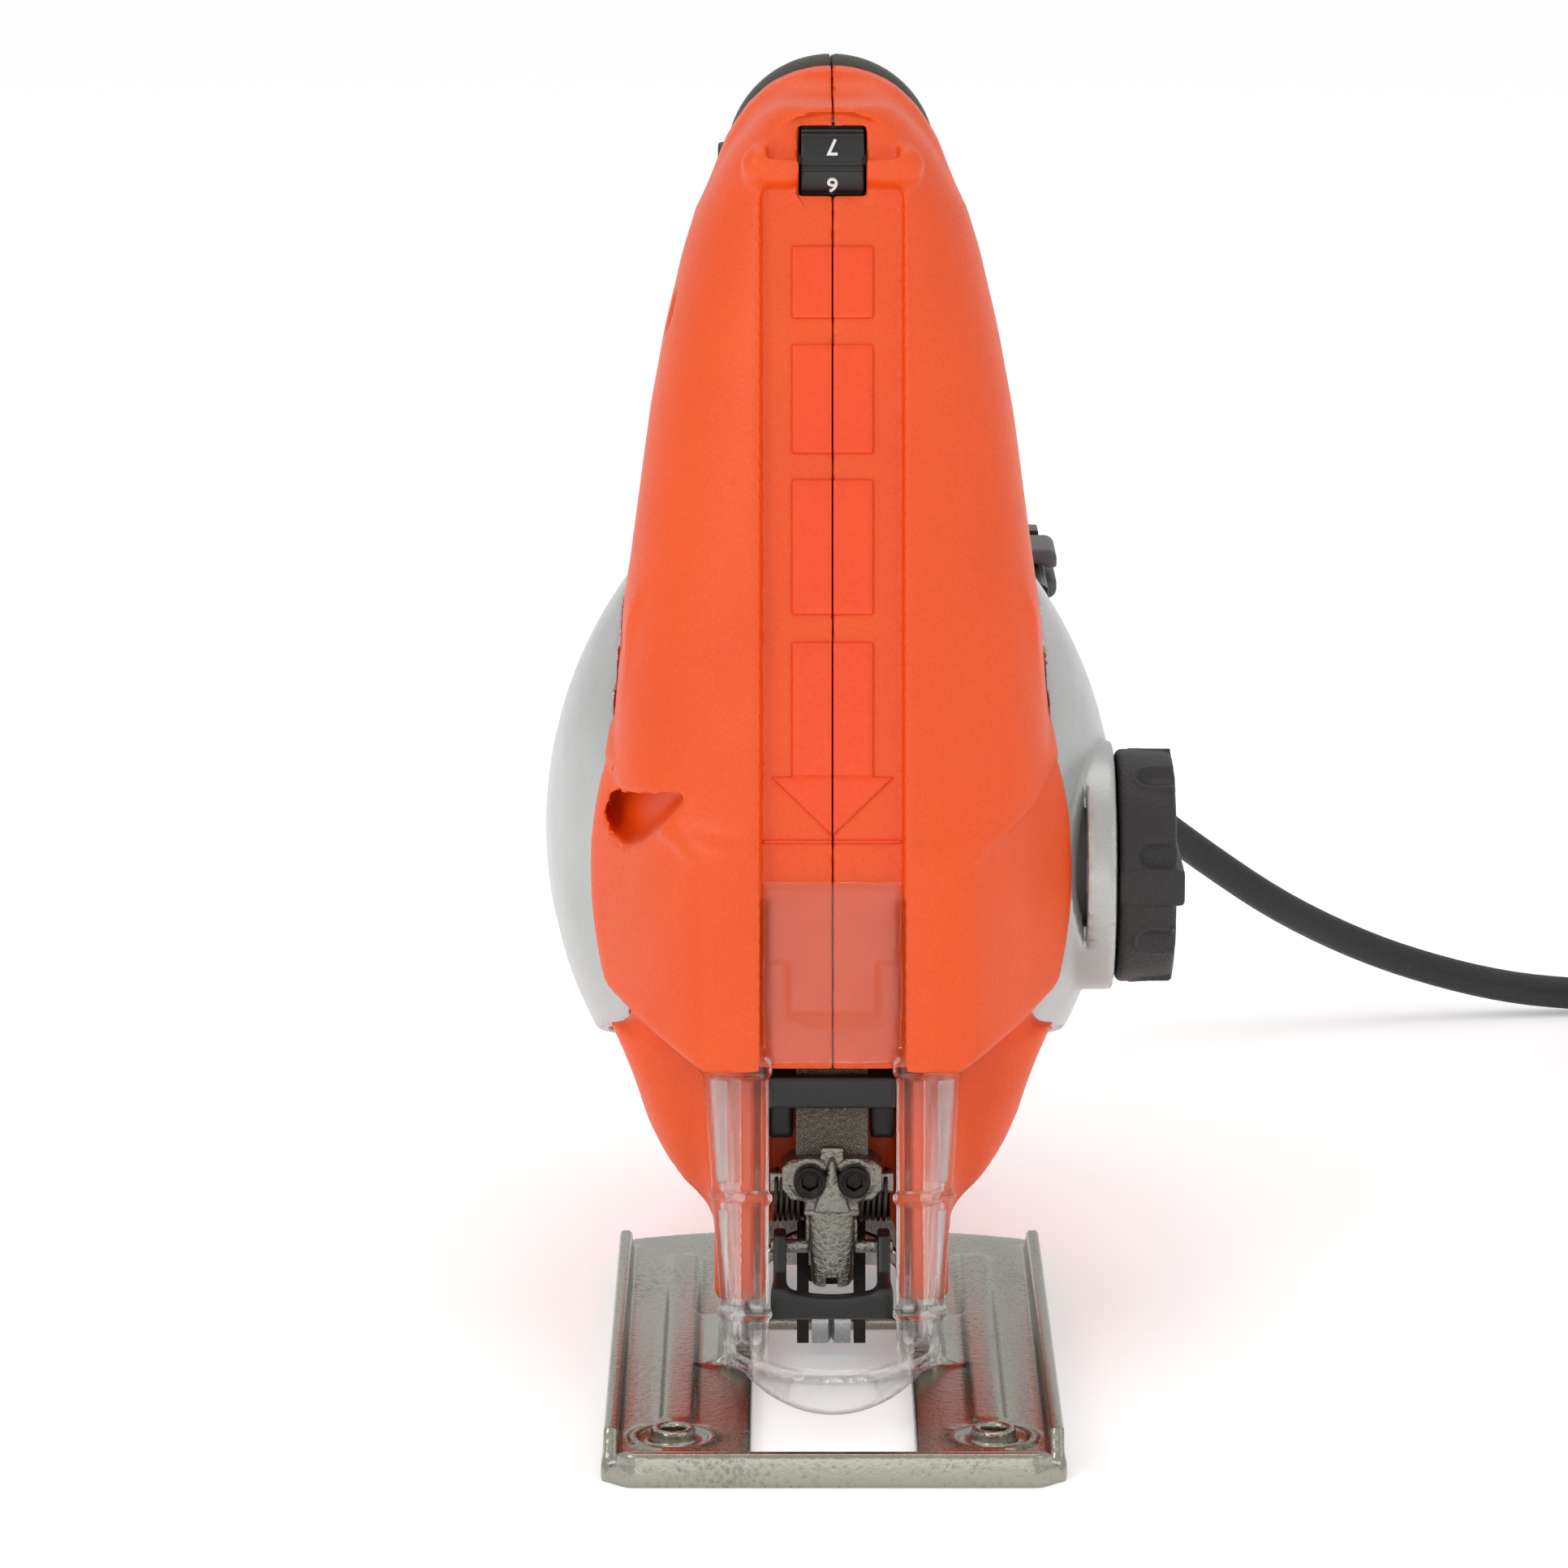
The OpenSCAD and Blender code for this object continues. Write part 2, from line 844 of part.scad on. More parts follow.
module clamp_pins() {
    color("gainsboro")
        union() {
            for (side = [-1, 1])
                rod_x(1.3, side > 0 ? 7 : -10.3, side > 0 ? 10.3 : -7, 0, 33.2);
            for (side = [-1, 1])
                rod_x(1.2, side > 0 ? 3.7 : -10.3, side > 0 ? 10.3 : -3.7, 0, bail_z);
        }
}

module clamp_springs() {
    color("dimgray")
        for (side = [-1, 1])
            translate([side > 0 ? 6.2 : -9.4, 0, 28.5])
                rotate([0, 90, 0])
                    coil_spring(1.2, 0.35, 3, 0.85, 45);
}

module clamp_bail() {
    color("black")
        difference() {
            union() {
                for (side = [-1, 1])
                    side_slab(
                        [[-2.4, 24.4], [2.4, 24.4], [2.6, 19], [-5, 12.2], [-9.4, 12.2], [-9.4, 16.2], [-4.6, 17.6]],
                        side > 0 ? 7.6 : -9.6, side > 0 ? 9.6 : -7.6
                    );
                span([-9.6, -9.4, 11.8], [9.6, -6.6, 16.4]);
            }
            rod_x(1.25, -12, 12, 0, bail_z);
        }
}

// ---- pendulum -----------------------------------------------------------------------

module pendulum_fork() {
    color("dimgray")
        difference() {
            union() {
                for (side = [-1, 1])
                    side_slab(
                        [[roller_y - 3.2, 3], [roller_y + 3, 2.6], [pivot_y + 3, pivot_z - 2.4],
                         [pivot_y + 3, pivot_z + 3.4], [pivot_y - 3, pivot_z + 3.4], [roller_y - 3.2, 10]],
                        side > 0 ? 3.8 : -5.8, side > 0 ? 5.8 : -3.8
                    );
                span([-3.8 - slim, 17, 25], [3.8 + slim, 21.5, 31]);
            }
            rod_x(2.05, -20, 20, pivot_y, pivot_z);
            rod_x(1.5, -20, 20, roller_y, roller_z);
        }
}

module pendulum_pin() {
    color("silver")
        rod_x(2, -10.9, 10.9, pivot_y, pivot_z);
}

module guide_roller() {
    color("silver")
        difference() {
            rod_x(4, -3.3, 3.3, roller_y, roller_z);
            translate([0, roller_y, roller_z])
                rotate([0, 90, 0])
                    rotate_extrude()
                        polygon([[3.1, 0], [5, -1.1], [5, 1.1]]);
            rod_x(1.55, -20, 20, roller_y, roller_z);
        }
}

// ---- foot ---------------------------------------------------------------------------

module foot() {
    half = foot_w / 2;
    color("lightsteelblue")
        difference() {
            union() {
                intersection() {
                    span([-half, -foot_front, 0], [half, foot_back, foot_t]);
                    translate([0, foot_back - 95, -1])
                        cylinder(r = 95, h = 10, $fn = 96);
                }
                span([-half, -foot_front, 0], [half, -foot_front + 2.2, 5.5]);
                for (side = [-1, 1])
                    span(
                        [side > 0 ? half - 2.2 : -half, -foot_front + 5, 0],
                        [side > 0 ? half : -half + 2.2, foot_back - 14, flange_h]
                    );
                for (side = [-1, 1])
                    front_slab(
                        [[side * slot_half, foot_t - slim], [side * 21, foot_t - slim], [side * 15.4, 7.3], [side * 14, 7.5]],
                        -5, 24
                    );
                for (side = [-1, 1])
                    span(
                        [side > 0 ? 23.6 : -24.6, -36, foot_t - slim],
                        [side > 0 ? 24.6 : -23.6, foot_back - 24, foot_t + 0.7]
                    );
                for (side = [-1, 1])
                    translate([side * collar_x, collar_y, foot_t - slim])
                        cylinder(r = 3.65, h = 2.2);
                rod_y(hump_r, hump_y[0], hump_y[1]);
            }
            span([-slot_half, -61, -20], [slot_half, 24, 20]);
            span([-half, -80, -30], [half, 100, 0]);
            rod_y(hump_r - 2.4, hump_y[0] - 1, hump_y[1] + 1);
            for (y = [40, 60])
                span([-7.6, y - 2.8, 5], [7.6, y + 2.8, 30]);
            for (side = [-1, 1])
                translate([side * collar_x, collar_y, -1])
                    cylinder(r = 2.1, h = 12);
            for (side = [-1, 1])
                translate([side * half, -foot_front, -1])
                    rotate([0, 0, 45])
                        cube([5.6, 5.6, 30], center = true);
        }
}

module foot_saddle() {
    color("gainsboro")
        difference() {
            side_slab(
                [[hump_y[0], 9.5], [hump_y[1], 9.5], [hump_y[1], 30.7], [60, 30], [hump_y[0], 27]],
                -15.5, 15.5
            );
            rod_y(hump_r + 0.3, 0, 100);
            for (y = [40, 60])
                translate([0, y, 0])
                    cylinder(r = 2.5, h = 27);
        }
}

module foot_clamp() {
    color("silver")
        difference() {
            intersection() {
                rod_y(hump_r - 2.7, hump_y[0] + 4, hump_y[1] - 4);
                span([-8, 0, 9], [8, 100, 30]);
            }
            for (y = [40, 60])
                translate([0, y, 0])
                    cylinder(r = 2.5, h = 27);
        }
}

module foot_screws() {
    color("silver")
        for (y = [40, 60])
            union() {
                translate([0, y, 9 - slim])
                    cylinder(r = 2.5, h = 18 + slim);
                difference() {
                    translate([0, y, 5])
                        cylinder(r = 4.2, h = 4);
                    translate([0, y, 4])
                        cylinder(r = 2.3, h = 3.4, $fn = 6);
                }
            }
}

module dust_port() {
    color("dimgray")
        difference() {
            rod_y(16.5, 95, 158, z = 52);
            rod_y(14, 80, 170, z = 52);
        }
}

// ---- key, screws --------------------------------------------------------------------

module hex_key() {
    color("silver")
        union() {
            translate([37.4, 84, key_z])
                rotate([-90, 30, 0])
                    cylinder(r = 1.5, h = 57, $fn = 6);
            translate([37.4, 139.4, key_z - 16])
                rotate([0, 0, 30])
                    cylinder(r = 1.5, h = 16, $fn = 6);
        }
}

module key_clip() {
    color("dimgray")
        difference() {
            span([core_half, 102, key_z - 4.5], [41, 118, key_z + 4.5]);
            translate([37.4, 90, key_z])
                rotate([-90, 30, 0])
                    cylinder(r = 1.5, h = 40, $fn = 6);
        }
}

module housing_screws() {
    color("dimgray")
        for (spot = screw_spots)
            difference() {
                union() {
                    rod_x(3.4, -12.4, -10, spot[0], spot[1]);
                    rod_x(1.6, -10 - slim, 12, spot[0], spot[1]);
                }
                translate([-16, spot[0], spot[1]])
                    rotate([0, 90, 0])
                        cylinder(r = 1.5, h = 5, $fn = 6);
            }
}

// ---- mains lead ---------------------------------------------------------------------

module strain_relief() {
    d = relief_tip - relief_root;
    color("black")
        translate(relief_root)
            rotate([0, acos(d[2] / norm(d)), atan2(d[1], d[0])])
                union() {
                    cylinder(r1 = 6.9, r2 = 4.6, h = norm(d));
                    translate([0, 0, -3])
                        cylinder(r = 6.9, h = 4);
                }
}

module cord_run() {
    color("black")
        swept(cord_route, cord_d / 2, 10, [0, 0, 1]);
}

module cord_coil() {
    color("black")
        translate([coil_x, coil_y, 0])
            rotate_extrude($fn = 64)
                translate([coil_r - coil_half, 0])
                    square([2 * coil_half, 3 * cord_d]);
}

module cord_tie() {
    color("dimgray")
        translate([coil_x, coil_y, 0])
            difference() {
                span([coil_r - coil_half - 1.9, -4, 0], [coil_r + coil_half + 1.5, 4, 3 * cord_d + 1.5]);
                span([coil_r - coil_half - 0.4, -5, -1], [coil_r + coil_half + slim, 5, 3 * cord_d]);
            }
}

module plug_body() {
    color("black")
        translate([coil_x - 4, coil_y - coil_r, 3 * cord_d])
            union() {
                span([-16, -12, 0], [14, 12, 17]);
                span([14 - slim, -5, 2], [28, 5, 12]);
            }
}

module plug_pins() {
    color("silver")
        translate([coil_x - 20, coil_y - coil_r, 3 * cord_d + 8.5])
            for (y = [-9.5, 9.5])
                rod_x(2.2, -19, 0, y, 0);
}

housing_left();
housing_right();
cover_left();
cover_right();
grip_left();
grip_right();
blade_guard();
speed_dial();
speed_module();
switch_body();
trigger();
trigger_spring();
lock_button();
orbit_knob();
orbit_shaft();
armature_shaft();
armature_core();
commutator();
cooling_fan();
pinion();
stator_core();
field_coils();
front_bearing();
rear_bearing();
brush_holders();
carbon_brushes();
bearing_plate();
gear_axle();
drive_gear();
crank_roller();
plunger();
yoke();
upper_bush();
lower_bush();
clamp_block();
clamp_screws();
blade_holder();
clamp_pins();
clamp_springs();
clamp_bail();
pendulum_fork();
pendulum_pin();
guide_roller();
foot();
foot_saddle();
foot_clamp();
foot_screws();
dust_port();
hex_key();
key_clip();
housing_screws();
strain_relief();
cord_run();
cord_coil();
cord_tie();
plug_body();
plug_pins();
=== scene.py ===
"""Looks of a corded jigsaw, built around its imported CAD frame.

Moulded and pressed parts are shaped as fields of signed distances in millimetres, which give them the small
even radii of tooling. Springs and screw heads that repeat come from Geometry Nodes. Every length in a class
is in millimetres unless its name ends in _m, and meshes are in metres.
"""

from __future__ import annotations

import json
import logging
import math
from dataclasses import dataclass
from enum import Enum
from typing import Sequence

import bpy
import numpy as np
import openvdb
from mathutils import Matrix, Vector

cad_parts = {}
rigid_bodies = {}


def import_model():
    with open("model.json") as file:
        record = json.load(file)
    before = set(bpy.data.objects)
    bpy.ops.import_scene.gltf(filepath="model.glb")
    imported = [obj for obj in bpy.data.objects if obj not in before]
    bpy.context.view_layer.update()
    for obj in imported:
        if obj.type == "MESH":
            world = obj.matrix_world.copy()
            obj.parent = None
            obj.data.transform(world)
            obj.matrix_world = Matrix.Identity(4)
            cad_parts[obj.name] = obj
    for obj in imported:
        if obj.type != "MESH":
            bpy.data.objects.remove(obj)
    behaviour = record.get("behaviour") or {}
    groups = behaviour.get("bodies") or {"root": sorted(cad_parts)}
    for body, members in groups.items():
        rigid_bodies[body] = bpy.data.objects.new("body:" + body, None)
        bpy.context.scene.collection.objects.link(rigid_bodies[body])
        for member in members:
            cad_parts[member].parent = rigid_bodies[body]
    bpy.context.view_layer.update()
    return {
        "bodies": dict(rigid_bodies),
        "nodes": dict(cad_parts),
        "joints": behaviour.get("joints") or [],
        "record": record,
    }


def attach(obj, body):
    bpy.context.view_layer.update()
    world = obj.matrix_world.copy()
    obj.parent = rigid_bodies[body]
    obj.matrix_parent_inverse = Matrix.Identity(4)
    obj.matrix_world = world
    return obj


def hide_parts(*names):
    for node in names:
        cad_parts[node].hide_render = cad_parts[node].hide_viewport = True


LOG = logging.getLogger("jigsaw")
MM = 0.001
# Where two turning controls have their axes, across the tool, as y and z.
KNOB_Y, KNOB_Z = 38.0, 79.0
DIAL_Y, DIAL_Z = 22.3, 202.5

Array = np.ndarray
Point = tuple[float, float, float]


# ---- shaping with distance fields -------------------------------------------


def join(a: Array, b: Array, blend: float = 0.0) -> Array:
    """Joins two solids, with a fillet of about the blend's size.

    Args:
        a: The first solid.
        b: The second solid.
        blend: Size of the fillet.

    Returns:
        Signed distances, negative inside.
    """
    if blend <= 0:
        return np.minimum(a, b)
    near = np.maximum(blend - np.abs(a - b), 0) / blend
    return np.minimum(a, b) - near * near * blend * 0.25


def both(a: Array, b: Array, blend: float = 0.0) -> Array:
    """Keeps what two solids share, with a rounded edge of about the blend's size."""
    return -join(-a, -b, blend)


def cut(a: Array, b: Array, blend: float = 0.0) -> Array:
    """Takes solid b out of solid a."""
    return both(a, -b, blend)


def box2(u: Array, v: Array, centre: tuple[float, float], half: tuple[float, float],
         radius: float = 0.0) -> Array:
    """Distance to a rectangle with rounded corners, in any two coordinates.

    Args:
        u: First coordinate.
        v: Second coordinate.
        centre: The middle.
        half: Half the size each way.
        radius: The radius.

    Returns:
        Signed distances, negative inside.
    """
    du = np.abs(u - centre[0]) - (half[0] - radius)
    dv = np.abs(v - centre[1]) - (half[1] - radius)
    outside = np.sqrt(np.maximum(du, 0) ** 2 + np.maximum(dv, 0) ** 2)
    return outside + np.minimum(np.maximum(du, dv), 0) - radius


def outline(u: Array, v: Array, points: Sequence[tuple[float, float]]) -> Array:
    """Signed distance to a closed polygon in two coordinates.

    Args:
        u: First coordinate.
        v: Second coordinate.
        points: Corners in order.

    Returns:
        Distances, negative inside.
    """
    best = np.full(np.broadcast(u, v).shape, 1e9, np.float32)
    sign = np.ones_like(best)
    for (ax, ay), (bx, by) in zip(points, points[1:] + points[:1]):
        ex, ey = bx - ax, by - ay
        wx, wy = u - ax, v - ay
        along = np.clip((wx * ex + wy * ey) / (ex * ex + ey * ey), 0, 1)
        best = np.minimum(best, (wx - ex * along) ** 2 + (wy - ey * along) ** 2)
        above, below, left = v >= ay, v < by, ex * wy > ey * wx
        crossed = (above & below & left) | (~above & ~below & ~left)
        sign = np.where(crossed, -sign, sign)
    return sign * np.sqrt(best)


def path_distance(u: Array, v: Array, points: Sequence[tuple[float, float]]) -> Array:
    """Distance to an open line of points in two coordinates.

    Args:
        u: First coordinate.
        v: Second coordinate.
        points: The line's points.

    Returns:
        Signed distances, negative inside.
    """
    best = np.full(np.broadcast(u, v).shape, 1e9, np.float32)
    for (ax, ay), (bx, by) in zip(points, points[1:]):
        ex, ey = bx - ax, by - ay
        along = np.clip(((u - ax) * ex + (v - ay) * ey) / (ex * ex + ey * ey), 0, 1)
        best = np.minimum(best, (u - ax - ex * along) ** 2 + (v - ay - ey * along) ** 2)
    return np.sqrt(best)


def smooth_path(points: Sequence[tuple[float, ...]], parts: int = 8) -> list[tuple[float, ...]]:
    """A rounder line through the points, by Catmull-Rom.

    Args:
        points: The line's points.
        parts: Pieces between two points.

    Returns:
        The finer line's points.
    """
    spots = np.array([points[0], *points, points[-1]], float)
    found: list[tuple[float, ...]] = []
    for a, b, c, d in zip(spots, spots[1:], spots[2:], spots[3:]):
        for t in np.arange(parts) / parts:
            p = b + 0.5 * t * (c - a + t * (2 * a - 5 * b + 4 * c - d + t * (3 * (b - c) + d - a)))
            found.append(tuple(float(v) for v in p))
    return [*found, tuple(float(v) for v in spots[-1])]


def facet(u: Array, v: Array, p: tuple[float, float], q: tuple[float, float]) -> Array:
    """Distance in front of the flat face that runs from p to q, whose outside is on its right."""
    du, dv = q[0] - p[0], q[1] - p[1]
    return ((u - p[0]) * dv - (v - p[1]) * du) / math.hypot(du, dv)


class Field:
    """A block of space, sampled on an even grid, in which solids are shaped."""

    def __init__(self, low: Point, high: Point, step: float) -> None:
        """Lays out the grid from its low corner to its high one.

        Args:
            low: The low corner.
            high: The high corner.
            step: The grid's spacing.
        """
        self.low = np.array(low, float)
        self.step = step
        counts = [int(math.ceil((b - a) / step)) + 1 for a, b in zip(low, high)]
        axes = [(a + step * np.arange(n)).astype(np.float32) for a, n in zip(low, counts)]
        self.x = axes[0][:, None, None]
        self.y = axes[1][None, :, None]
        self.z = axes[2][None, None, :]
        self.shape = tuple(counts)

    def leaning(self) -> tuple[Array, Array]:
        """Depth behind the leaning nose plane, and height along it."""
        c, s = math.cos(math.radians(NOSE.lean_deg)), math.sin(math.radians(NOSE.lean_deg))
        return (self.y + NOSE.foot) * c - self.z * s, (self.y + NOSE.foot) * s + self.z * c

    def mesh(self, name: str, distance: Array, most: int = 60_000, adaptivity: float = 0.02,
             sharp_deg: float = 40.0) -> bpy.types.Object:
        """Turns a solid into a closed, smoothly shaded mesh.

        Args:
            name: The piece's name.
            distance: The solid's distances on this grid.
            most: The most triangles that the mesh keeps.
            adaptivity: How far flat stretches are merged into larger faces.
            sharp_deg: Edges with a sharper angle than this stay crisp.

        Returns:
            The new object, in metres.
        """
        limit = 3 * self.step
        values = np.clip(np.broadcast_to(distance, self.shape), -limit, limit).astype(np.float32)
        grid = openvdb.FloatGrid(limit)
        grid.copyFromArray(np.ascontiguousarray(values))
        points, triangles, quads = grid.convertToPolygons(isovalue=0.0, adaptivity=adaptivity)
        points = (points * self.step + self.low) * MM
        piece = mesh_object(name, points, [*quads.tolist(), *triangles.tolist()])
        thin_out(piece, most)
        return shade(piece, sharp_deg)


def mesh_object(name: str, points: Array, faces: list[list[int]]) -> bpy.types.Object:
    """A new object from points in metres and faces, its faces turned outwards.

    Args:
        name: The new piece's name.
        points: The line's points.
        faces: Corner numbers of each face.

    Returns:
        The new object.
    """
    data = bpy.data.meshes.new(name)
    data.from_pydata([tuple(map(float, p)) for p in points], [], faces)
    data.update()
    piece = bpy.data.objects.new(name, data)
    bpy.context.scene.collection.objects.link(piece)
    if signed_volume(data) < 0:
        data.flip_normals()
    return piece


def signed_volume(data: bpy.types.Mesh) -> float:
    """Volume enclosed by a mesh, negative where its faces point inwards.

    Args:
        data: The mesh.

    Returns:
        The value.
    """
    data.calc_loop_triangles()
    places = np.empty(len(data.vertices) * 3)
    data.vertices.foreach_get("co", places)
    corners = np.empty(len(data.loop_triangles) * 3, int)
    data.loop_triangles.foreach_get("vertices", corners)
    a, b, c = places.reshape(-1, 3)[corners.reshape(-1, 3)].transpose(1, 0, 2)
    return float(np.einsum("ij,ij->i", a, np.cross(b, c)).sum())


def shade(piece: bpy.types.Object, sharp_deg: float = 50.0) -> bpy.types.Object:
    """Shades a piece smooth, apart from edges sharper than the angle.

    Args:
        piece: The object.
        sharp_deg: Edges sharper than this stay crisp.

    Returns:
        The new object.
    """
    data = piece.data
    data.shade_smooth()
    data.set_sharp_from_angle(angle=math.radians(sharp_deg))
    return piece


def thin_out(piece: bpy.types.Object, most: int) -> None:
    """Merges faces until a piece has about the given number of triangles at most.

    Args:
        piece: The object.
        most: The most triangles that are kept.
    """
    count = sum(len(p.vertices) - 2 for p in piece.data.polygons)
    if count <= most:
        return
    reduce = piece.modifiers.new("reduce", "DECIMATE")
    reduce.ratio = most / count
    apply_modifiers(piece)


def apply_modifiers(piece: bpy.types.Object) -> None:
    """Bakes a piece's modifiers into its mesh.

    Args:
        piece: The object.
    """
    evaluated = piece.evaluated_get(bpy.context.evaluated_depsgraph_get())
    data = bpy.data.meshes.new_from_object(evaluated)
    piece.modifiers.clear()
    piece.data = data


# ---- finishes ----------------------------------------------------------------


def linear(colour: str) -> tuple[float, float, float, float]:
    """An sRGB hex colour as linear red, green, blue and alpha."""
    parts = [int(colour[k : k + 2], 16) / 255 for k in (1, 3, 5)]
    return (*(p / 12.92 if p <= 0.04045 else ((p + 0.055) / 1.055) ** 2.4 for p in parts), 1.0)


def add(tree: bpy.types.NodeTree, kind: str, inputs: dict | None = None,
        **settings: object) -> bpy.types.Node:
    """Adds a node with its settings and links.

    Args:
        tree: The tree it goes in.
        kind: The node's type.
        inputs: Sockets by name or number, each with a value or the socket that feeds it.
        **settings: The node's own properties.

    Returns:
        The new node.
    """
    node = tree.nodes.new(kind)
    for key, value in settings.items():
        setattr(node, key, value)
    for key, value in (inputs or {}).items():
        if isinstance(value, bpy.types.NodeSocket):
            tree.links.new(value, node.inputs[key])
        else:
            node.inputs[key].default_value = value
    return node


class Relief(Enum):
    """What shows in a surface close up."""

    MOULDED = "moulded"
    PEEL = "peel"
    GROUND = "ground"
    CAST = "cast"
    BRUSHED = "brushed"


@dataclass(frozen=True)
class Finish:
    """An opaque finish: its colours, its gloss and its fine relief."""

    name: str
    colour: str
    shade: str
    rough: float
    metal: float = 0.0
    relief: Relief = Relief.MOULDED
    size: float = 0.45
    strength: float = 0.12
    spread: float = 0.08
    patch: float = 30.0
    coat: float = 0.0
    sheen: float = 0.0

    def height(self, tree: bpy.types.NodeTree, place: bpy.types.NodeSocket) -> bpy.types.NodeSocket:
        """The relief's height over the surface, from 0 to 1.

        Args:
            tree: The node tree.
            place: Coordinates in metres.

        Returns:
            The socket that carries it.
        """
        per_m = 1 / (self.size * MM)
        if self.relief is Relief.GROUND:
            waves = []
            for turn in (38, -33):
                spin = add(tree, "ShaderNodeMapping",
                           {"Vector": place, "Rotation": (0, math.radians(turn), 0)})
                wave = add(tree, "ShaderNodeTexWave", {"Vector": spin.outputs[0], "Scale": per_m / 3.2,
                           "Distortion": 5.0, "Detail": 2.0, "Detail Scale": 1.6}, bands_direction="X")
                waves.append(wave.outputs["Fac"])
            return add(tree, "ShaderNodeMath", {0: waves[0], 1: waves[1]}, operation="MINIMUM").outputs[0]
        if self.relief is Relief.BRUSHED:
            long = add(tree, "ShaderNodeMapping", {"Vector": place, "Scale": (1, 0.06, 1)})
            return add(tree, "ShaderNodeTexNoise",
                       {"Vector": long.outputs[0], "Scale": per_m, "Detail": 2}).outputs[0]
        fine = add(tree, "ShaderNodeTexNoise",
                   {"Vector": place, "Scale": per_m, "Detail": 2.0}).outputs["Fac"]
        if self.relief is Relief.MOULDED:
            return fine
        coarse = add(tree, "ShaderNodeTexVoronoi", {"Vector": place, "Scale": per_m / 2.2},
                     feature="SMOOTH_F1")
        return add(tree, "ShaderNodeMath", {0: fine, 1: coarse.outputs["Distance"]},
                   operation="ADD").outputs[0]

    def material(self) -> bpy.types.Material:
        """Builds the finish's nodes.

        Returns:
            The material.
        """
        made = bpy.data.materials.new(self.name)
        made.use_nodes = True
        tree = made.node_tree
        tree.nodes.clear()
        place = add(tree, "ShaderNodeTexCoord").outputs["Object"]
        height = self.height(tree, place)
        patch = add(tree, "ShaderNodeTexNoise",
                    {"Vector": place, "Scale": 1 / (self.patch * MM), "Detail": 4.0})
        share = add(tree, "ShaderNodeMath", {0: patch.outputs["Fac"], 1: height}, operation="ADD")
        ranged = add(tree, "ShaderNodeMapRange",
                     {"Value": share.outputs[0], "From Min": 0.65, "From Max": 1.35})
        mix = add(tree, "ShaderNodeMix", {"Factor": ranged.outputs[0], 6: linear(self.shade),
                                          7: linear(self.colour)},
                  data_type="RGBA")
        gloss = add(tree, "ShaderNodeMapRange", {"Value": share.outputs[0], "From Min": 0.6, "From Max": 1.4,
                    "To Min": min(self.rough + self.spread, 1),
                                                 "To Max": max(self.rough - self.spread, 0.02)})
        bump = add(tree, "ShaderNodeBump",
                   {"Height": height, "Strength": self.strength, "Distance": self.size * MM})
        shader = add(tree, "ShaderNodeBsdfPrincipled",
                     {"Base Color": mix.outputs[2], "Roughness": gloss.outputs[0],
                     "Metallic": self.metal, "Normal": bump.outputs[0], "Coat Weight": self.coat,
                     "Coat Roughness": 0.15, "Sheen Weight": self.sheen})
        add(tree, "ShaderNodeOutputMaterial", {"Surface": shader.outputs[0]})
        return made


@dataclass(frozen=True)
class Clear:
    """A clear or frosted plastic."""

    name: str
    colour: str
    rough: float
    ior: float = 1.585
    haze_mm: float = 9.0
    body: float = 0.42
    strength: float = 0.05

    def material(self) -> bpy.types.Material:
        """Builds the plastic's nodes: a slight waviness, and haze in patches.

        Returns:
            The material.
        """
        made = bpy.data.materials.new(self.name)
        made.use_nodes = True
        tree = made.node_tree
        tree.nodes.clear()
        place = add(tree, "ShaderNodeTexCoord").outputs["Object"]
        haze = add(tree, "ShaderNodeTexNoise",
                   {"Vector": place, "Scale": 1 / (self.haze_mm * MM), "Detail": 5.0})
        scuff = add(tree, "ShaderNodeTexNoise", {"Vector": place, "Scale": 1 / (0.7 * MM), "Detail": 3.0})
        gloss = add(tree, "ShaderNodeMapRange",
                    {"Value": haze.outputs["Fac"], "From Min": 0.4, "From Max": 0.75,
                    "To Min": self.rough, "To Max": self.rough + 0.14})
        bump = add(tree, "ShaderNodeBump", {"Height": scuff.outputs["Fac"], "Strength": self.strength,
                   "Distance": 0.3 * MM})
        shader = add(tree, "ShaderNodeBsdfPrincipled", {"Base Color": linear(self.colour), "IOR": self.ior,
                     "Roughness": gloss.outputs[0], "Transmission Weight": 1.0, "Normal": bump.outputs[0],
                     "Alpha": self.body})
        add(tree, "ShaderNodeOutputMaterial", {"Surface": shader.outputs[0]})
        return made


# Glass-filled nylon, moulded with a fine spark texture: matt, with soft broad highlights.
ORANGE = Finish("orange_nylon", "#EE5408", "#E04A04", 0.46, size=0.5, strength=0.10)
# The same nylon on the floor of the recessed channel: smoother, and a deeper orange that is painted shade of
# the recess.
SHADED_CHANNEL_ORANGE = Finish("channel_nylon", "#F04A00", "#E64000", 0.38, size=0.8, strength=0.05)
# ABS with silver lacquer: tiny flakes under a soft gloss.
SILVER = Finish("silver_lacquer", "#C2C4C2", "#ABADAB", 0.36, metal=0.55, size=0.25, strength=0.08, coat=0.3)
# Thermoplastic rubber moulded over the handle: dull, slightly dusty.
RUBBER = Finish("soft_rubber", "#4A4A44", "#3C3C38", 0.72, size=0.35, strength=0.25, sheen=0.15)
# Black nylon with a coarse spark-eroded texture.
BLACK = Finish("black_nylon", "#2B2A29", "#1F1E1E", 0.55, size=0.55, strength=0.35)
# Black acetal, smoother than the nylon.
SMOOTH_BLACK = Finish("black_acetal", "#222222", "#191919", 0.38, size=0.5, strength=0.06)
GREY = Finish("grey_abs", "#5A5B5C", "#4C4D4E", 0.5, size=0.5, strength=0.15)
# Flexible cord jacket: satin black rubber.
CORD = Finish("cord_jacket", "#26262A", "#1C1C1F", 0.5, size=0.9, strength=0.12)
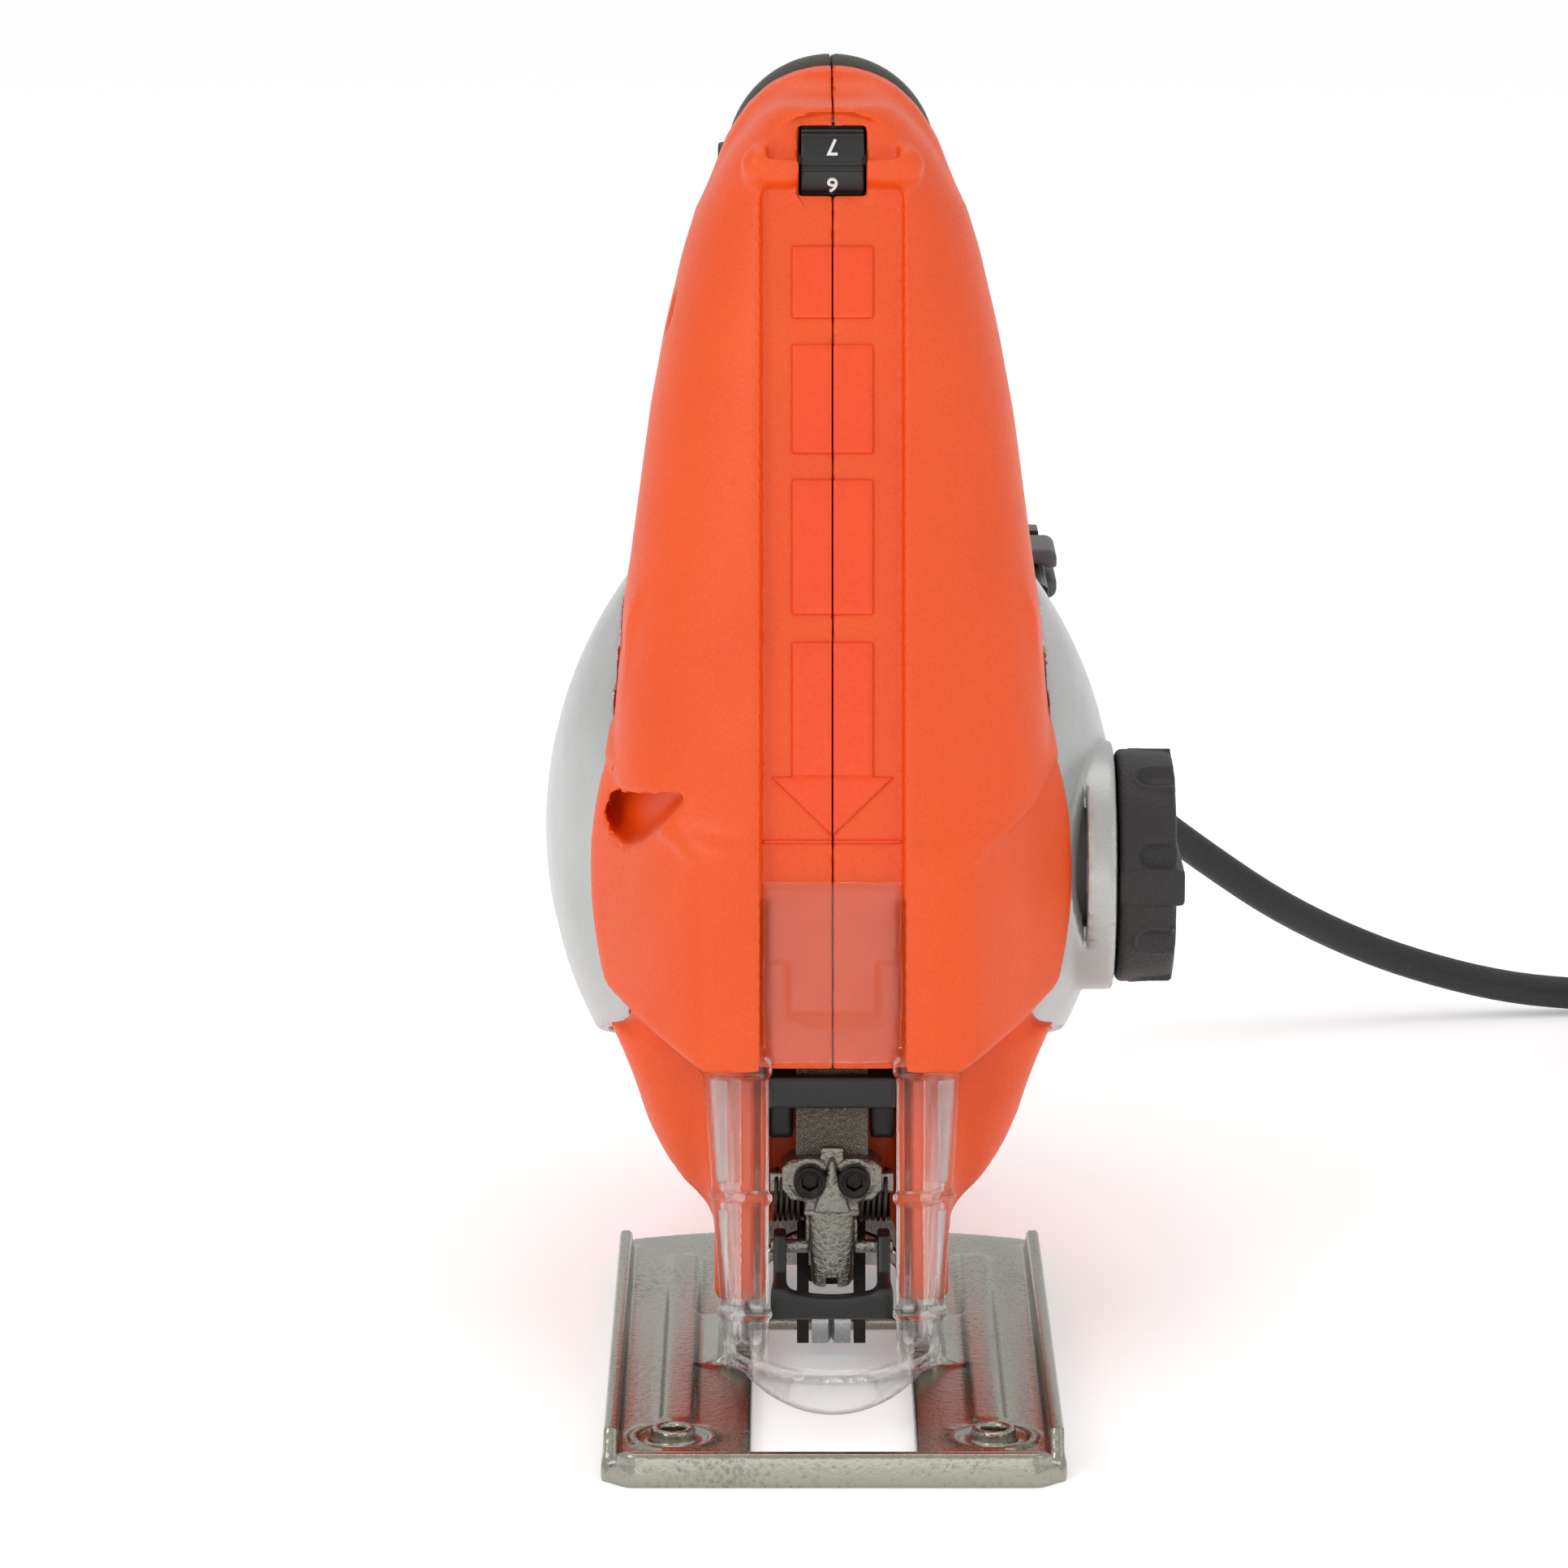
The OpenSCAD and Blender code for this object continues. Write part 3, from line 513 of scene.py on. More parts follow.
# Steel sheet with bright zinc: an orange-peel skin that breaks up its reflections.
ZINC = Finish("zinc_steel", "#9F9D92", "#76756C", 0.3, metal=1.0, relief=Relief.PEEL, size=0.4, strength=0.1)
# Surface-ground steel: fine marks that cross each other.
GROUND = Finish("ground_steel", "#9B948A", "#6E675E", 0.36, metal=1.0, relief=Relief.GROUND, size=0.42,
                strength=0.6)
STEEL = Finish("turned_steel", "#B9BABB", "#9A9B9C", 0.28, metal=1.0, relief=Relief.BRUSHED, size=0.3,
               strength=0.1)
# Die-cast zinc after tumbling: a dull grey skin with a fine grain.
CAST = Finish("die_cast_zinc", "#95938B", "#66645E", 0.42, metal=1.0, relief=Relief.CAST, size=0.35,
              strength=0.55)
# Blackened alloy steel, faintly oily.
OXIDE = Finish("black_oxide", "#34302E", "#211F1E", 0.33, metal=0.8, size=0.4, strength=0.12)
SPRING = Finish("spring_steel", "#4A4642", "#332F2C", 0.3, metal=1.0, relief=Relief.BRUSHED, size=0.2,
                strength=0.1)
COPPER = Finish("wound_copper", "#B4643A", "#8A4524", 0.35, metal=1.0, relief=Relief.BRUSHED, size=0.5,
                strength=0.5)
BRASS = Finish("brass", "#C9A24C", "#A5823A", 0.3, metal=1.0, relief=Relief.BRUSHED, size=0.3, strength=0.1)
CARBON = Finish("carbon_brush", "#2A2A2B", "#1E1E1F", 0.6, size=0.3, strength=0.2)
LAMINATION = Finish("lamination_steel", "#6E6F72", "#55565A", 0.42, metal=1.0, relief=Relief.BRUSHED,
                    size=0.5)
BOARD = Finish("circuit_board", "#1F5A38", "#17462B", 0.35, size=0.6, strength=0.05, coat=0.4)
WHITE = Finish("dial_paint", "#E9E9E4", "#D8D8D2", 0.5, size=0.3, strength=0.05)
# Moulded polycarbonate: clear, with faint haze and scuffs.
POLYCARBONATE = Clear("clear_polycarbonate", "#F1F2F0", 0.05)
FROSTED = Clear("frosted_polycarbonate", "#E6E8E6", 0.38, haze_mm=4.0, body=0.6, strength=0.3)

SLOT_FINISHES: dict[str, Finish | Clear] = {
    "orange_shell": ORANGE, "silver_cover": SILVER, "soft_grip": RUBBER, "clear_guard": POLYCARBONATE,
    "black_plastic": SMOOTH_BLACK, "grey_plastic": GREY, "circuit_board": BOARD, "spring_steel": SPRING,
    "steel": STEEL, "ground_steel": GROUND, "lamination": LAMINATION, "copper": COPPER, "brass": BRASS,
    "carbon": CARBON, "die_cast": CAST, "black_oxide": OXIDE, "zinc_plate": ZINC, "cord_rubber": CORD,
}


class Paints:
    """Makes each finish's material once."""

    def __init__(self) -> None:
        """Starts with no material made."""
        self.made: dict[str, bpy.types.Material] = {}

    def of(self, finish: Finish | Clear) -> bpy.types.Material:
        """The material of a finish."""
        if finish.name not in self.made:
            self.made[finish.name] = finish.material()
        return self.made[finish.name]


# ---- geometry nodes ------------------------------------------------------------


def node_group(name: str, sockets: Sequence[tuple[str, str, object]]) -> tuple[bpy.types.NodeTree,
    bpy.types.Node]:
    """A new Geometry Nodes tree with named inputs.

    Args:
        name: The tree's name.
        sockets: Name, socket type and default of each input after the geometry.

    Returns:
        The tree and its input node.
    """
    tree = bpy.data.node_groups.new(name, "GeometryNodeTree")
    tree.interface.new_socket("Geometry", in_out="INPUT", socket_type="NodeSocketGeometry")
    for label, kind, value in sockets:
        socket = tree.interface.new_socket(label, in_out="INPUT", socket_type=kind)
        if value is not None:
            socket.default_value = value
    tree.interface.new_socket("Geometry", in_out="OUTPUT", socket_type="NodeSocketGeometry")
    return tree, add(tree, "NodeGroupInput")


def bake(name: str, base: bpy.types.Mesh, tree: bpy.types.NodeTree,
         values: dict[str, object]) -> bpy.types.Object:
    """Runs a tree on a base mesh and keeps the result as a plain mesh.

    Args:
        name: The new piece's name.
        base: The mesh that the tree starts from.
        tree: The node tree.
        values: The tree's inputs by name.

    Returns:
        The new object.
    """
    piece = bpy.data.objects.new(name, base)
    bpy.context.scene.collection.objects.link(piece)
    modifier = piece.modifiers.new("nodes", "NODES")
    modifier.node_group = tree
    for item in tree.interface.items_tree:
        if item.in_out == "INPUT" and item.name in values:
            modifier[item.identifier] = values[item.name]
    bpy.context.view_layer.update()
    apply_modifiers(piece)
    return piece


def repeat(name: str, template: bpy.types.Object, places: Sequence[tuple[Point, Point]],
           finish: bpy.types.Material) -> bpy.types.Object:
    """Copies a template to several places.

    Args:
        name: The piece's name.
        template: The object that is copied and then removed.
        places: A point in millimetres and an Euler turn in degrees for each copy.
        finish: The copies' material.

    Returns:
        One mesh with all the copies.
    """
    tree, group = node_group("repeat_" + name, [("Template", "NodeSocketObject", None),
                                               ("Finish", "NodeSocketMaterial", None)])
    turn = add(tree, "GeometryNodeInputNamedAttribute", {"Name": "turn"}, data_type="FLOAT_VECTOR")
    info = add(tree, "GeometryNodeObjectInfo", {"Object": group.outputs["Template"]})
    copies = add(tree, "GeometryNodeInstanceOnPoints", {"Points": group.outputs["Geometry"],
                 "Instance": info.outputs["Geometry"], "Rotation": turn.outputs[0]})
    real = add(tree, "GeometryNodeRealizeInstances", {"Geometry": copies.outputs[0]})
    dressed = add(tree, "GeometryNodeSetMaterial",
                  {"Geometry": real.outputs[0], "Material": group.outputs["Finish"]})
    add(tree, "NodeGroupOutput", {0: dressed.outputs[0]})
    base = bpy.data.meshes.new(name + "_points")
    base.from_pydata([tuple(v * MM for v in spot) for spot, _ in places], [], [])
    attribute = base.attributes.new("turn", "FLOAT_VECTOR", "POINT")
    attribute.data.foreach_set("vector", [math.radians(v) for _, angles in places for v in angles])
    piece = bake(name, base, tree, {"Template": template, "Finish": finish})
    bpy.data.objects.remove(template)
    return piece


def springs(name: str, places: Sequence[Matrix], turns: float, radius: float, length: float, wire: float,
            finish: bpy.types.Material) -> bpy.types.Object:
    """Coil springs along their own Z, one at each place, with every size in millimetres.

    Args:
        name: The new piece's name.
        places: Where each copy goes.
        turns: How many turns.
        radius: The radius.
        length: The spring's length.
        wire: The wire's radius.
        finish: The finish.

    Returns:
        The new object.
    """
    tree, group = node_group("spring", [("Turns", "NodeSocketFloat", 5.0),
                                        ("Radius", "NodeSocketFloat", 0.005),
                             ("Length", "NodeSocketFloat", 0.005), ("Wire", "NodeSocketFloat", 0.0004),
                             ("Finish", "NodeSocketMaterial", None)])
    spiral = add(tree, "GeometryNodeCurveSpiral", {"Resolution": 28, "Rotations": group.outputs["Turns"],
                 "Start Radius": group.outputs["Radius"], "End Radius": group.outputs["Radius"],
                 "Height": group.outputs["Length"]})
    ring = add(tree, "GeometryNodeCurvePrimitiveCircle", {"Resolution": 10, "Radius": group.outputs["Wire"]})
    tube = add(tree, "GeometryNodeCurveToMesh",
               {"Curve": spiral.outputs[0], "Profile Curve": ring.outputs[0],
               "Fill Caps": True})
    smooth = add(tree, "GeometryNodeSetShadeSmooth", {"Geometry": tube.outputs[0]})
    real = add(tree, "GeometryNodeRealizeInstances", {"Geometry": smooth.outputs[0]})
    dressed = add(tree, "GeometryNodeSetMaterial",
                  {"Geometry": real.outputs[0], "Material": group.outputs["Finish"]})
    add(tree, "NodeGroupOutput", {0: dressed.outputs[0]})
    made = []
    for k, place in enumerate(places):
        base = bpy.data.meshes.new(f"{name}_base")
        base.from_pydata([(0, 0, 0)], [], [])
        piece = bake(f"{name}_{k}", base, tree,
                     {"Turns": turns, "Radius": radius * MM, "Length": length * MM,
                     "Wire": wire * MM, "Finish": finish})
        piece.data.transform(place)
        if signed_volume(piece.data) < 0:
            piece.data.flip_normals()
        made.append(piece)
    return merged(name, made)


def merged(name: str, pieces: Sequence[bpy.types.Object]) -> bpy.types.Object:
    """Joins several mesh objects, which sit at the origin, into one.

    Args:
        name: The new piece's name.
        pieces: The objects.

    Returns:
        The new object.
    """
    points: list[tuple[float, float, float]] = []
    faces: list[list[int]] = []
    for piece in pieces:
        start = len(points)
        points += [tuple(v.co) for v in piece.data.vertices]
        faces += [[start + k for k in polygon.vertices] for polygon in piece.data.polygons]
        bpy.data.objects.remove(piece)
    data = bpy.data.meshes.new(name)
    data.from_pydata(points, [], faces)
    whole = bpy.data.objects.new(name, data)
    bpy.context.scene.collection.objects.link(whole)
    return shade(whole, 40)


# ---- sizes that several classes share ----------------------------------------


@dataclass(frozen=True)
class Nose:
    """The leaning front of the tool, down which the channel runs."""

    lean_deg: float = 12.0
    foot: float = 30.0
    channel_half: float = 11.75
    channel_depth: float = 4.0

    def along(self, z: float) -> float:
        """Height along the nose at which the channel's floor is at the given z."""
        lean = math.radians(self.lean_deg)
        return z / math.cos(lean) + self.channel_depth * math.tan(lean)

    def point(self, x: float, depth: float, up: float) -> Point:
        """A place given in the nose's own leaning frame, in the tool's frame."""
        c, s = math.cos(math.radians(self.lean_deg)), math.sin(math.radians(self.lean_deg))
        return x, -self.foot + depth * c + up * s, -depth * s + up * c


@dataclass(frozen=True)
class Dome:
    """The sphere that each side cover follows."""

    radius: float = 73.8
    half: float = 49.3
    y: float = 52.0
    z: float = 83.0

    def distance(self, f: Field, front: float = -99.0) -> Array:
        """Distance to the lens that the two spheres share, drawn straight forward from the given y.

        Args:
            f: The grid that the shape is made on.
            front: How far the shape is drawn out forwards.

        Returns:
            Signed distances, negative inside.
        """
        x = np.abs(f.x) - (self.half - self.radius)
        y = np.maximum(f.y, front) - self.y
        return np.sqrt(x * x + y * y + (f.z - self.z) ** 2) - self.radius


NOSE = Nose()
DOME = Dome()


@dataclass
class Housing:
    """The two orange halves of the body with its handle."""

    step: float = 0.6
    wall: float = 3.0
    core_half: float = 33.4
    handle_radius: float = 14.9
    seam: float = 0.05
    heights: tuple[float, ...] = (90, 110, 129, 158.6, 172, 185, 192, 203.5, 209, 212.5, 214.6, 216)
    halves: tuple[float, ...] = (37, 36.3, 34.6, 30.6, 28.1, 25, 22.8, 16.9, 12.4, 8, 3, 0.5)
    handle: tuple[tuple[float, float], ...] = (
        (40, 200.1), (84, 195.3), (104, 192.8), (122, 187.6), (137, 177.5), (146, 163), (149, 147),
                                               (148, 128),
        (143, 104),
    )
    screw_spots: tuple[tuple[float, float], ...] = (
        (20, 122), (62, 126), (112, 124), (146, 118), (30, 176), (146, 172), (84, 40),
    )

    def column(self, f: Field, depth: Array, up: Array) -> Array:
        """The round front leg of the handle.

        Args:
            f: The grid that the shape is made on.
            depth: Depth behind the nose plane.
            up: Height along the nose.

        Returns:
            Signed distances, negative inside.
        """
        half = np.interp(f.z, self.heights, self.halves).astype(np.float32)
        round_depth = np.minimum(25, half)
        front = np.maximum(round_depth - depth, 0) / round_depth
        body = ((np.abs(f.x / half) ** 2.5 + front**2.5) ** 0.4 - 1) * np.minimum(half, round_depth)
        body = both(body, -self.shoulder(depth, up) - 1)
        body = both(body, f.z - 211.8, 1.5)
        return both(body, f.y - 48.5, 6)

    def core(self, f: Field) -> Array:
        """The flat-sided block around the motor.

        Args:
            f: The grid that the shape is made on.

        Returns:
            Signed distances, negative inside.
        """
        radius = 9.0
        side = outline(
            f.y, f.z,
            [(12, 34), (60, 39), (108, 43), (133, 56), (145, 80), (148, 105), (145, 125), (8, 125),
             (4, 90), (8, 60)],
        )
        half = np.interp(f.y, [96, 158], [self.core_half, 27]).astype(np.float32)
        across = np.abs(f.x) - (half - radius)
        outside = np.sqrt(np.maximum(side, 0) ** 2 + np.maximum(across, 0) ** 2)
        return outside + np.minimum(np.maximum(side, across), 0) - radius

    @staticmethod
    def brow(f: Field) -> Array:
        """Distance below the cheeks' lower edge."""
        return 56.0 + 0.5 * np.maximum(np.abs(f.x) - 21, 0) - f.z

    @staticmethod
    def cheek_plane(f: Field, depth: Array) -> Array:
        """Distance in front of the long facet whose rear edge meets the side cover."""
        return facet(np.abs(f.x), depth, (31, 11), (43.4, 34.5))

    @staticmethod
    def pocket(f: Field) -> Array:
        """Distance outside the drop-shaped pocket of the left cheek, seen from the front."""
        drop = [(25.5, 99.6), (31.6, 92.2), (34, 90.4), (36, 91), (37, 93.2), (36, 96.2), (33.4, 98)]
        return outline(-f.x, f.z, drop)

    @staticmethod
    def shoulder(depth: Array, up: Array) -> Array:
        """Distance above the plane that ends the cheeks and the side covers' front."""
        return (up - 94 - 0.78 * depth) / 1.27

    @staticmethod
    def keel(f: Field) -> Array:
        """Distance outside the slanted planes that draw the body in towards the foot."""
        return 0.8178 * (np.abs(f.x) - 20) - 0.5756 * (f.z - 24)

    def lower(self, f: Field, depth: Array, up: Array) -> Array:
        """Core, cheeks and belly, cut by the facets of the nose.

        Args:
            f: The grid that the shape is made on.
            depth: Depth behind the nose plane.
            up: Height along the nose.

        Returns:
            Signed distances, negative inside.
        """
        x = np.abs(f.x)
        lens, long_lens = DOME.distance(f), DOME.distance(f, 20)
        facets = both(facet(x, depth, (23, 1.6), (31, 11)), facet(x, depth, (17.75, -0.1), (23, 1.6)), 1.5)
        facets = both(both(facets, self.cheek_plane(f, depth), 1.5), -depth + 0 * x, 1.0)
        cheek = join(both(long_lens + 1.2, -self.cheek_plane(f, depth) - 1.4), long_lens + 2.9)
        cheek = both(both(cheek, facets, 0.8), both(self.brow(f), f.y - 36), 1.5)
        cheek = both(cheek, self.shoulder(depth, up), 1.5)
        body = both(self.core(f), join(self.brow(f), 1.0 - f.y, 1.0), 1.0)
        body = both(body, join(both(facets, self.shoulder(depth, up) - 3), 12 - f.y), 1.5)
        body = join(body, cheek, 1.0)
        flank = both(both(lens + 2.9, np.abs(f.y - 52) - 42), 32 - x)
        body = join(body, flank, 1)
        belly = both(both(long_lens + 0.1, f.z - 54 + 0.3 * (f.y - 24)), np.abs(f.y - 50) - 49.5, 9)
        belly = both(belly, 25.5 + 0.05 * f.y - f.z, 4)
        body = join(body, belly, 3)
        return both(body, self.keel(f), 7)

    def outer(self, f: Field, depth: Array, up: Array) -> Array:
        """The whole moulding before anything is cut out.

        Args:
            f: The grid that the shape is made on.
            depth: Depth behind the nose plane.
            up: Height along the nose.

        Returns:
            Signed distances, negative inside.
        """
        tube = path_distance(f.y, f.z, smooth_path(self.handle))
        handle = np.sqrt(tube**2 + f.x**2) - self.handle_radius
        handle = both(handle, 39 - f.y)
        body = join(self.lower(f, depth, up), self.column(f, depth, up), 3)
        body = join(body, handle, 8)
        legs = box2(np.abs(f.x), f.y, (15.3, 6.25), (4.4, 6.25), 1.6)
        legs = both(legs, np.abs(f.z - 31) - 19, 2.5)
        return join(body, legs, 4)

    def openings(self, f: Field, body: Array, depth: Array, up: Array) -> Array:
        """Cuts the channel, the clamp's room, the air slots, the screw holes and the controls' windows.

        Args:
            f: The grid that the shape is made on.
            body: The solid so far.
            depth: Depth behind the nose plane.
            up: Height along the nose.

        Returns:
            Signed distances, negative inside.
        """
        x = np.abs(f.x)
        channel = both(both(x - NOSE.channel_half, depth - NOSE.channel_depth, 0.8), up - 205.2)
        body = cut(body, channel, 0.9)
        room = both(both(x - 10.9, f.y - 9, 1.5), f.z - 53)
        body = cut(body, room, 1.2)
        slot = path_distance(x, depth, [(12, 3.1), (15.8, 3.1), (21.4, 16.4)]) - 1.9
        body = cut(body, both(slot, up - 86, 1), 0.9)
        boss = np.sqrt((depth - 2.5) ** 2 + (up - 207.2) ** 2 + np.maximum(x - 11.8, 0) ** 2) - 3.3
        body = join(body, boss, 2.2)
        arch = both(np.sqrt((x / 10.8) ** 2 + (np.maximum(up - 209.6, 0) / 6.2) ** 2) * 6 - 6, 208 - up)
        body = cut(body, both(arch, depth - 2.6, 0.8), 0.6)
        dial = both(x - 5.6, np.sqrt((f.y - DIAL_Y) ** 2 + (f.z - DIAL_Z) ** 2) - 7.75)
        window = both(both(x - 5.6, np.abs(f.z - 202.4) - 5.3), f.y - 22)
        body = cut(body, join(dial, window), 0.5)
        trigger = both(box2(x, f.y, (0, 72), (6.4, 14.4), 1.0), np.abs(f.z - 178) - 14)
        body = cut(body, trigger, 1.0)
        lock = both(np.sqrt((f.y - 98) ** 2 + (f.z - 192) ** 2) - 4.7, f.x + 4)
        body = cut(body, lock, 0.8)
        for y, z in self.screw_spots:
            hole = np.sqrt((f.y - y) ** 2 + (f.z - z) ** 2) - 3.6
            body = cut(body, both(hole, f.x + 10), 1.0)
        body = cut(body, both(self.pocket(f) - 0.9, -self.cheek_plane(f, depth) - 4.5, 1), 0.9)
        for k in range(5):
            slot = box2(f.y, f.z, (105.5 + 7 * k, 89), (1.6, 19 - 1.5 * k), 1.6)
            body = cut(body, both(slot, 24 - x), 1.0)
        yoke_room = both(box2(x, f.y, (0, 6.75), (15.2, 7.75), 1.0), np.abs(f.z - 66) - 14)
        bar_room = both(box2(x, f.y, (0, 0), (7.0, 3.2), 0.5), np.abs(f.z - 76) - 27)
        body = cut(body, both(join(yoke_room, bar_room), 5.2 - depth))
        shaft = both(np.sqrt((f.y - KNOB_Y) ** 2 + (f.z - KNOB_Z) ** 2) - 8, 20 - f.x)
        body = cut(body, shaft)
        return cut(body, both(np.sqrt(f.x**2 + (f.z - 52) ** 2) - 16.6, 95 - f.y), 1.0)

    def build(self) -> dict[str, bpy.types.Object]:
        """Shapes the moulding and parts it at the middle.

        Returns:
            The left and right halves by the name of their CAD node.
        """
        f = Field((-50, -32, 10), (50, 168, 218), self.step)
        depth, up = f.leaning()
        solid = self.openings(f, self.outer(f, depth, up), depth, up)
        backing = both(both(solid, self.pocket(f) - 3.4), -self.cheek_plane(f, depth) - 9)
        body = join(cut(solid, solid + self.wall), backing)
        halves = {}
        for name, side in (("housing_left", -1), ("housing_right", 1)):
            half = both(body, self.seam - side * f.x, 0.25)
            halves[name] = f.mesh(name + "_shell", half, most=190_000)
        return halves

    def marks(self) -> bpy.types.Object:
        """Shallow raised panels and an arrow, down the floor of the channel.

        Returns:
            The new object.
        """
        f = Field((-12, 93, -0.9), (12, 196, 0.9), 0.25)
        x = np.abs(f.x)
        body = np.full(f.shape, 9.0, np.float32)
        for low, high in ((177.2, 189.0), (155.4, 173.1), (129.4, 151.3)):
            a, b = NOSE.along(low), NOSE.along(high)
            body = join(body, box2(x, f.y, (0, (a + b) / 2), (6.8, (b - a) / 2), 0.5))
        neck, tip, line = NOSE.along(103.3), NOSE.along(93.7), NOSE.along(92.8)
        shaft = box2(x, f.y, (0, (neck + NOSE.along(125.1)) / 2), (6.8, (NOSE.along(125.1) - neck) / 2), 0.4)
        head = both(facet(x, f.y, (10.3, neck), (0, tip)) * -1, f.y - neck)
        body = join(body, join(shaft, head))
        body = join(body, both(np.abs(f.y - line) - 0.35, x - 11.6))
        body = both(body, np.abs(f.z) - 0.5, 0.6)
        body = cut(body, x - 0.12)
        piece = f.mesh("channel_marks", body, adaptivity=0.05)
        c, s = math.cos(math.radians(NOSE.lean_deg)), math.sin(math.radians(NOSE.lean_deg))
        place = Matrix.Identity(4)
        for row, values in enumerate(((1, 0, 0, 0), (0, s, -c, 0), (0, c, s, 0), (0, 0, 0, 1))):
            place[row] = values
        origin = NOSE.point(0, NOSE.channel_depth - 0.2, 0)
        piece.data.transform(Matrix.Translation(Vector(origin) * MM) @ place)
        return piece


@dataclass
class SideCovers:
    """The silver domes on both flanks, and the seat of the selector on the right one."""

    step: float = 0.55
    shell: float = 2.4
    rim: float = 2.6
    seat_radius: float = 21.3

    def build(self, housing: Housing) -> dict[str, bpy.types.Object]:
        """Shapes both covers.

        Args:
            housing: The body, whose facets end the covers.

        Returns:
            The covers by the name of their CAD node.
        """
        made = {}
        for name, side in (("cover_left", -1), ("cover_right", 1)):
            f = Field((33 if side > 0 else -50, 0, 34), (50 if side > 0 else -33, 102, 130), self.step)
            depth, up = f.leaning()
            lens = DOME.distance(f)
            border = housing.cheek_plane(f, depth)
            shell = cut(lens, lens + self.shell)
            shell = both(shell, lens + 0.42 * np.maximum(border + self.rim, 0), 0.3)
            shell = both(shell, border + 0.1, 0.6)
            shell = both(shell, 54.4 - 0.3 * (f.y - 24) - f.z, 0.8)
            column = housing.column(f, depth, up)
            shell = cut(shell, column - 0.1, 0.8)
            shell = both(shell, 33.5 - np.abs(f.x))
            if side < 0:
                shell = cut(shell, both(housing.pocket(f) - 1.4, f.y - 30))
            if side > 0:
                radial = np.sqrt((f.y - KNOB_Y) ** 2 + (f.z - KNOB_Z) ** 2)
                seat = both(both(radial - self.seat_radius, f.x - 48.2, 0.8), 18.6 - radial)
                floor = both(radial - 19.5, np.abs(f.x - 44.9) - 1.1)
                seat = join(seat, floor)
                seat = both(seat, np.minimum(border + 0.3, 43.2 - f.x))
                shell = join(cut(shell, both(radial - 18.6, 43.9 - f.x)), seat, 1.0)
                shell = cut(shell, radial - 4.1)
                ring = np.sqrt((f.y - 20.2) ** 2 + (f.z - 70.0) ** 2)
                mark = both(np.abs(ring - 1.7) - 0.45, np.abs(lens) - 0.5)
                shell = join(shell, mark, 0.3)
            made[name] = f.mesh(name + "_shell", shell, most=120_000)
        return made


@dataclass
class HandleGrip:
    """The black rubber over the top of the handle."""

    step: float = 0.6
    radius: float = 17.8

    def build(self, housing: Housing) -> dict[str, bpy.types.Object]:
        """Shapes the rubber's two halves, parted along the top.

        Args:
            housing: The housing that the pieces fit.

        Returns:
            The pieces by name.
        """
        f = Field((-19, 42, 182), (19, 152, 219.5), self.step)
        tube = path_distance(f.y, f.z, smooth_path(housing.handle))
        round_tube = np.sqrt(tube**2 + f.x**2)
        depth, up = f.leaning()
        body = both(round_tube - self.radius, np.abs(f.y - 97) - 49.5, 3)
        body = both(body, 186 + 0.25 * np.maximum(f.y - 128, 0) - f.z, 2)
        groove = np.sqrt((round_tube - self.radius - 0.4) ** 2 + (f.z - 190.5) ** 2) - 0.9
        body = cut(body, both(groove, np.abs(f.y - 97) - 44), 0.5)
        body = cut(body, round_tube - self.radius + 2.7)
        body = cut(body, housing.column(f, depth, up) - 0.05)
        body = cut(body, both(np.sqrt((f.y - 98) ** 2 + (f.z - 192) ** 2) - 5.4, f.x), 0.8)
        made = {}
        for name, side in (("grip_left", -1), ("grip_right", 1)):
            half = both(body, 0.1 - side * f.x, 0.6)
            made[name] = f.mesh(name + "_rubber", half, most=90_000)
        return made


